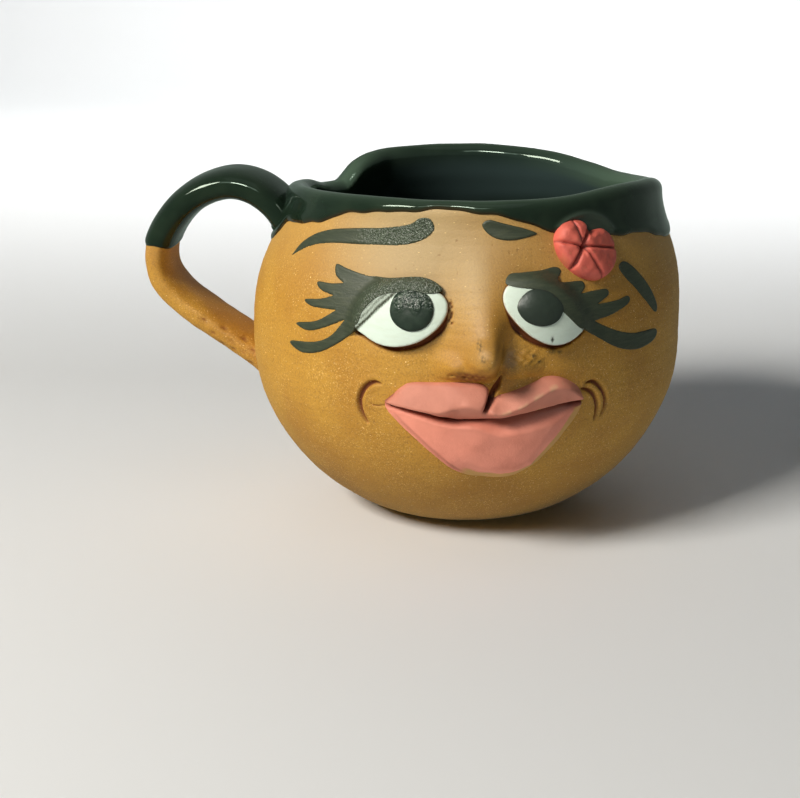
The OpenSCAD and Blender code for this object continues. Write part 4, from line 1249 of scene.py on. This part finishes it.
# Lips
PARTING = [
    (-18.4, 31.2), (-15.8, 30.9), (-11.0, 29.9), (-8.2, 29.1), (-5.1, 28.7), (-1.6, 28.8),
    (3.1, 28.9), (9.1, 29.8), (12.9, 30.4), (17.6, 30.8)]
LIP_RIDGE = [
    (-18.4, 31.4), (-14.0, 31.3), (-10.0, 30.9), (-7.6, 31.0), (-5.8, 31.5), (-3.6, 32.2),
    (-1.2, 31.6), (1.8, 30.6), (4.4, 31.2), (7.1, 32.5), (9.5, 33.7), (11.8, 34.3),
    (14.8, 33.4), (17.6, 31.2)]
CROWN = [
    (-18.4, 31.4), (-15.0, 34.3), (-11.0, 35.2), (-4.0, 35.5), (-0.4, 35.0), (1.0, 33.2),
    (3.0, 33.2), (7.6, 34.6), (10.4, 35.8), (13.6, 35.5), (17.6, 32.5)]
UPPER_EDGE = [
    (-18.4, 31.3, 1), (-16.9, 32.6), (-15.0, 34.3), (-13.2, 35.1), (-8.2, 35.3), (-3.4, 35.4),
    (-1.2, 35.1), (0.1, 34.4), (0.3, 33.4), (-0.5, 31.0, 1), (0.7, 32.1), (2.0, 32.9),
    (3.9, 33.4), (6.0, 34.1), (8.8, 35.1), (10.6, 35.8), (13.2, 35.5), (16.0, 34.1),
    (17.5, 32.6), (17.7, 30.8, 1)]
LOWER_EDGE = [
    (17.8, 30.6, 1), (18.0, 28.8), (16.4, 26.2), (14.0, 22.6), (10.6, 18.6), (7.0, 16.3),
    (3.3, 15.7), (-0.8, 16.3), (-4.0, 17.9), (-8.4, 21.6), (-12.4, 25.0), (-15.8, 27.9),
    (-17.7, 29.7), (-18.4, 31.0, 1)]
LIP_SLIT = [(2.6, 36.0), (1.7, 34.0), (0.6, 32.4), (-0.5, 30.9)]
SCRAPED = [(1.4, 30.4), (4.2, 31.0), (7.1, 32.4), (9.5, 33.7), (11.6, 34.5), (13.0, 34.7)]
UPPER_SWELL, LOWER_SWELL = (1.2, 2.3, 18.6), (1.0, 2.4, 18.8)
UPPER_SLIT_DEPTH, BEVEL_W, BEVEL_T = 0.9, 2.3, 1.4


def swell(x, corner, more, half):
    """Height of a lip's roll: low at its corners, and more at its middle."""
    return corner + more * np.sqrt(np.clip(1 - (x / half) ** 2, 0.02, 1))


def level(rows, x):
    """Height of a line that runs from left to right over the face."""
    smooth = along([row[:2] for row in rows], np.linspace(0, 1, 80))
    return np.interp(x, smooth[:, 0], smooth[:, 1])


def least(a, b, k):
    """The smaller of two heights, rounded over where they meet."""
    return -np.log(np.exp(-k * a) + np.exp(-k * b)) / k


def upper_lip():
    def height(x, z, d):
        top, ridge, low = level(CROWN, x), level(LIP_RIDGE, x), level(PARTING, x)
        crest = swell(x, *UPPER_SWELL)
        face = 0.6 + (crest - 0.6) * np.clip((top - z) / np.maximum(top - ridge, 0.4), 0, 3)
        under = 0.8 + (crest - 0.8) * (z - low) / np.maximum(ridge - low, 0.3)
        body = least(face, under + 0.15, 5.0) * rounded_edge(d, 0.5)
        slit, _ = line_distance(x, z, LIP_SLIT)
        fold = 0.35 * hump(x + 5.5 - 0.7 * (z - 31), 1.2) * eased((34 - z) / 2)
        wavy = body - UPPER_SLIT_DEPTH * hump(slit, 0.6) - fold + 0.06 * np.sin(x * 1.3 + z)
        return np.maximum(wavy, -0.2)

    def marks(x, z, d):
        slit, _ = line_distance(x, z, LIP_SLIT)
        scraped, _ = line_distance(x, z, SCRAPED)
        raw = eased((0.42 + 0.12 * np.sin(x * 1.9) - scraped) / 0.3)
        # painted shade in the slit and along the lip's lower edge by the parting
        fold = np.maximum(eased((0.45 - slit) / 0.3), 0.8 * eased(1 - d / 0.3) * (z < 33))
        return raw * 0.55 * eased(0.7 + np.sin(x * 2.3 + 1)), fold
    laid("upper_lip_roll", pink, "pink_slip", "upper_lip",
         closed_outline(UPPER_EDGE + PARTING[-2:0:-1], 9), height, marks, step=0.26)


def lower_lip():
    edge = along([row[:2] for row in LOWER_EDGE], np.linspace(0, 1, 120))

    def bevelled(x, z):
        drop = level(PARTING, x) - z
        below = eased((24.5 - z) / 7) * eased((x + 9) / 10)
        return np.maximum(below, eased((x - 6) / 4) * eased(drop / 2.0))

    def crease(x, out):
        return hump(out - 1.0, 0.28) * eased((x + 17) / 3) * eased((-2 - x) / 4)

    def height(x, z, d):
        drop = level(PARTING, x) - z
        right = eased((x + 4) / 7) * eased((17 - x) / 5)
        gap = 0.6 + 2.2 * right
        rise = mix(mix(0.5, 0.05, right), 1, eased(drop / gap))
        slope = 0.76 + 0.24 * eased((drop - gap) / 8)
        body = swell(x, *LOWER_SWELL) * rise * slope
        out, _ = line_distance(x, z, edge)
        thick = np.minimum(body, BEVEL_T)
        bevel = np.where(out < BEVEL_W, thick * out / BEVEL_W,
                         thick + (body - thick) * eased((out - 2.1) / 2.8))
        plain = body * rounded_edge(d, 0.7) - 0.3 * crease(x, out)
        return mix(plain, bevel, bevelled(x, z)) + 0.06 * np.sin(x * 0.8 + 1) * np.sin(z)

    def marks(x, z, d):
        out, _ = line_distance(x, z, edge)
        ragged = BEVEL_W + 0.12 * np.sin(x * 1.7)
        raw = eased((ragged - out) / 0.3) * eased(3 * bevelled(x, z) - 0.6)
        # painted shade along the parting and in the crease
        fold = 0.9 * eased(1 - (level(PARTING, x) - z) / (0.7 + 1.3 * eased(x / 3)))
        fold = np.maximum(fold, 0.45 * crease(x, out))
        # the third layer picks the lower lip's lighter, painted-light pink
        return raw, fold, 1.0
    laid("lower_lip_roll", pink, "pink_slip", "lower_lip",
         closed_outline(LOWER_EDGE + PARTING[1:-1], 9), height, marks)


# Flower
HUB, FLOWER_T = (19.3, 57.5), 3.1
FLOWER_EDGE = [
    (14.4, 60.0), (15.6, 61.8), (18.0, 62.5), (20.4, 62.2), (21.8, 61.2), (21.8, 59.9, 1),
    (23.4, 60.3), (25.8, 60.2), (27.6, 58.9), (28.4, 56.9), (27.9, 55.0), (26.4, 53.2),
    (24.2, 52.0), (21.8, 51.6), (19.0, 52.3), (16.7, 53.8), (15.0, 55.7), (14.2, 58.0)]
# Depth, width and outer end of each cut between two petals
PETAL_CUTS = [
    (0.8, 0.17, (18.4, 62.3)), (1.4, 0.26, (21.7, 61.2)), (0.9, 0.19, (28.0, 56.5)),
    (0.8, 0.17, (23.2, 51.6)), (1.2, 0.30, (16.2, 53.5)), (0.8, 0.19, (13.9, 59.0))]


def flower():
    turns = [math.atan2(end[1] - HUB[1], end[0] - HUB[0]) for _, _, end in PETAL_CUTS]

    def height(x, z, d):
        lift = FLOWER_T - 0.22 * np.hypot(x - HUB[0], z - HUB[1])
        turn = np.arctan2(z - HUB[1], x - HUB[0])
        for k, (deep, wide, end) in enumerate(PETAL_CUTS):
            away, share = line_distance(x, z, [HUB, end])
            lift -= deep * (0.75 + 0.25 * share) * hump(away, wide + 0.12 * share)
            lift -= 0.20 * hump(away, 1.0)
            lift += 0.22 * math.cos(2.1 * k) * np.cos(turn - turns[k] - 0.5) ** 8
        return (lift + 0.05 * np.sin(x * 2.7) * np.sin(z * 2.3)) * rounded_edge(d, 1.2)

    def marks(x, z, d):
        # painted shade along the cuts between the petals
        fold = 0 * x
        for _, wide, end in PETAL_CUTS:
            away, _ = line_distance(x, z, [HUB, end])
            fold = np.maximum(fold, 0.9 * hump(away, wide * 0.8))
        bare_side = eased((0.9 - d) / 0.4) * eased((16.5 - x) / 2) * eased((57 - z) / 3)
        return bare_side, fold
    laid("flower_disc", red, "red_slip", "flower", closed_outline(FLOWER_EDGE, 12), height,
         marks, step=0.2)


# Mica flecks
FLECK_DENSITY, FLECK_R, FLECK_SEED, TILT_SEED = 3.2e5, 0.13, 11, 7


def fleck_tree():
    """Geometry nodes that strew small flat flecks over the bare clay."""
    b, (body, density, size, seed, look) = new_tree("mica_strewing", "Flecks", {
        "Clay": "Geometry", "Density": "Float", "Fleck Size": "Float", "Seed": "Int",
        "Finish": "Material"})
    marks = b.node("GeometryNodeInputNamedAttribute", {"Name": "marks"},
                   data_type="FLOAT_COLOR")
    bare = b.node("FunctionNodeSeparateColor", {0: marks}, "Alpha")
    spots = b.node("GeometryNodeDistributePointsOnFaces",
                   {"Mesh": body, "Density": density * bare, "Seed": seed}, "Points")
    shape = b.node("GeometryNodeMeshIcoSphere", {"Radius": size, "Subdivisions": 1}, "Mesh")
    wide = b.node("FunctionNodeRandomValue", {2: 0.45, 3: 1.1, "Seed": seed}, 1,
                  data_type="FLOAT")
    scale = b.node("ShaderNodeCombineXYZ", {0: wide, 1: wide * 0.45, 2: wide * 0.3})
    tilt = b.node("FunctionNodeRandomValue",
                  {0: (-0.45, -0.45, -3.1), 1: (0.45, 0.45, 3.1), "Seed": TILT_SEED},
                  data_type="FLOAT_VECTOR")
    turned_spots = b.node(
        "FunctionNodeRotateRotation",
        {0: b.out_of(spots, "Rotation"), 1: b.node("FunctionNodeEulerToRotation", {0: tilt})},
        rotation_space="LOCAL")
    placed = b.node("GeometryNodeInstanceOnPoints", {"Points": spots, "Instance": shape,
                                                     "Rotation": turned_spots, "Scale": scale})
    return end_tree(b, placed, look)


def mica(body):
    flecks = grown("mica_flecks", body, fleck_tree(),
                   {"Density": FLECK_DENSITY, "Fleck Size": FLECK_R * MM, "Seed": FLECK_SEED,
                    "Finish": fleck})
    settle(flecks, fleck, "terracotta")


# Stage, light and camera
STAGE_FRONT, STAGE_BACK, STAGE_HALF, STAGE_TOP = -4.0, 0.9, 4.0, 1.3
COVE_R, COVE_STEPS = 0.3, 8
MUG = (0, 0, 0.035)
# Aim, azimuth, elevation and distance, size, power and colour of each lamp
LAMPS = {
    "key_softbox": (MUG, (-45, 38, 0.75), (0.26, 0.20), 6.1, (1.0, 0.94, 0.84)),
    "front_shine": (MUG, (-7, 41, 0.80), (0.14, 0.12), 2.4, (1.0, 0.96, 0.88)),
    "front_glow": (MUG, (-7, 41, 0.81), (0.45, 0.20), 1.0, (0.9, 1.0, 0.9)),
    "top_fill": (MUG, (10, 80, 0.90), (0.6, 0.6), 0.35, (0.94, 0.97, 1.0)),
    "backdrop_lamp": ((0, 0.9, 0.10), (0, 28, 0.68), (0.8, 0.12), 4.6, (1.0, 0.98, 0.94))}
GLOSS_ONLY = ("front_shine", "front_glow")
AIR_GLOW = 0.25
# The photograph's view: the focal length and the shift are in its pixels
PHOTO_AIM, PHOTO_FROM = (0, 0, 0.033), (5, 15, 0.340)
PHOTO_W, FOCAL_PX, SHIFT_PX, SENSOR = 800, 1703, (-66, -65.4), 36


def stage():
    """A pale floor that turns up into a backdrop."""
    turns = [k * math.pi / 2 / COVE_STEPS for k in range(COVE_STEPS + 1)]
    rows = [(STAGE_FRONT, 0.0)]
    rows += [(STAGE_BACK - COVE_R * (1 - math.sin(t)), COVE_R * (1 - math.cos(t)))
             for t in turns]
    rows += [(STAGE_BACK, STAGE_TOP)]
    points = [(x, y, z) for y, z in rows for x in (-STAGE_HALF, STAGE_HALF)]
    faces = [(2 * k, 2 * k + 1, 2 * k + 3, 2 * k + 2) for k in range(len(rows) - 1)]
    mesh = smooth_mesh("pale_floor", points, faces)
    mesh.materials.append(floor_finish)
    floor = put("pale_floor", mesh)
    floor.visible_glossy = False


def looking(thing, aim, azimuth, elevation, distance):
    """Turns a lamp or camera to its aim from an azimuth, 0 in front, and an elevation."""
    a, e = math.radians(azimuth), math.radians(elevation)
    back = Vector((math.sin(a) * math.cos(e), -math.cos(a) * math.cos(e), math.sin(e)))
    thing.location = Vector(aim) + back * distance
    thing.rotation_mode = "QUATERNION"
    thing.rotation_quaternion = (-back).to_track_quat("-Z", "Y")


def lighting():
    for name, (aim, seen_from, size, power, colour) in LAMPS.items():
        light = bpy.data.lights.new(name, "AREA")
        light.shape = "RECTANGLE"
        light.size, light.size_y = size
        light.energy = power
        light.color = colour
        lamp = put(name, light)
        lamp.visible_diffuse = name not in GLOSS_ONLY
        looking(lamp, aim, *seen_from)
    world = bpy.data.worlds.new("studio_air")
    world.use_nodes = True
    air = world.node_tree.nodes["Background"]
    air.inputs["Color"].default_value = GREEN_TINT
    air.inputs["Strength"].default_value = AIR_GLOW
    bpy.context.scene.world = world
    world.cycles_visibility.diffuse = False


def camera():
    """The photograph's view: a little to the right of the front, 15 degrees up."""
    lens = bpy.data.cameras.new("photo_view")
    lens.sensor_width = SENSOR
    lens.lens = SENSOR * FOCAL_PX / PHOTO_W
    lens.shift_x, lens.shift_y = (v / PHOTO_W for v in SHIFT_PX)
    lens.clip_start, lens.clip_end = 0.02, 10
    seat = put("photo_view", lens)
    looking(seat, PHOTO_AIM, *PHOTO_FROM)
    bpy.context.scene.camera = seat


body = bowl()
rim_coat()
handle()
nose()
eyes()
lids_and_lashes()
brows()
upper_lip()
lower_lip()
flower()
mica(body)
stage()
lighting()
camera()
bpy.context.scene.view_settings.view_transform = "Standard"
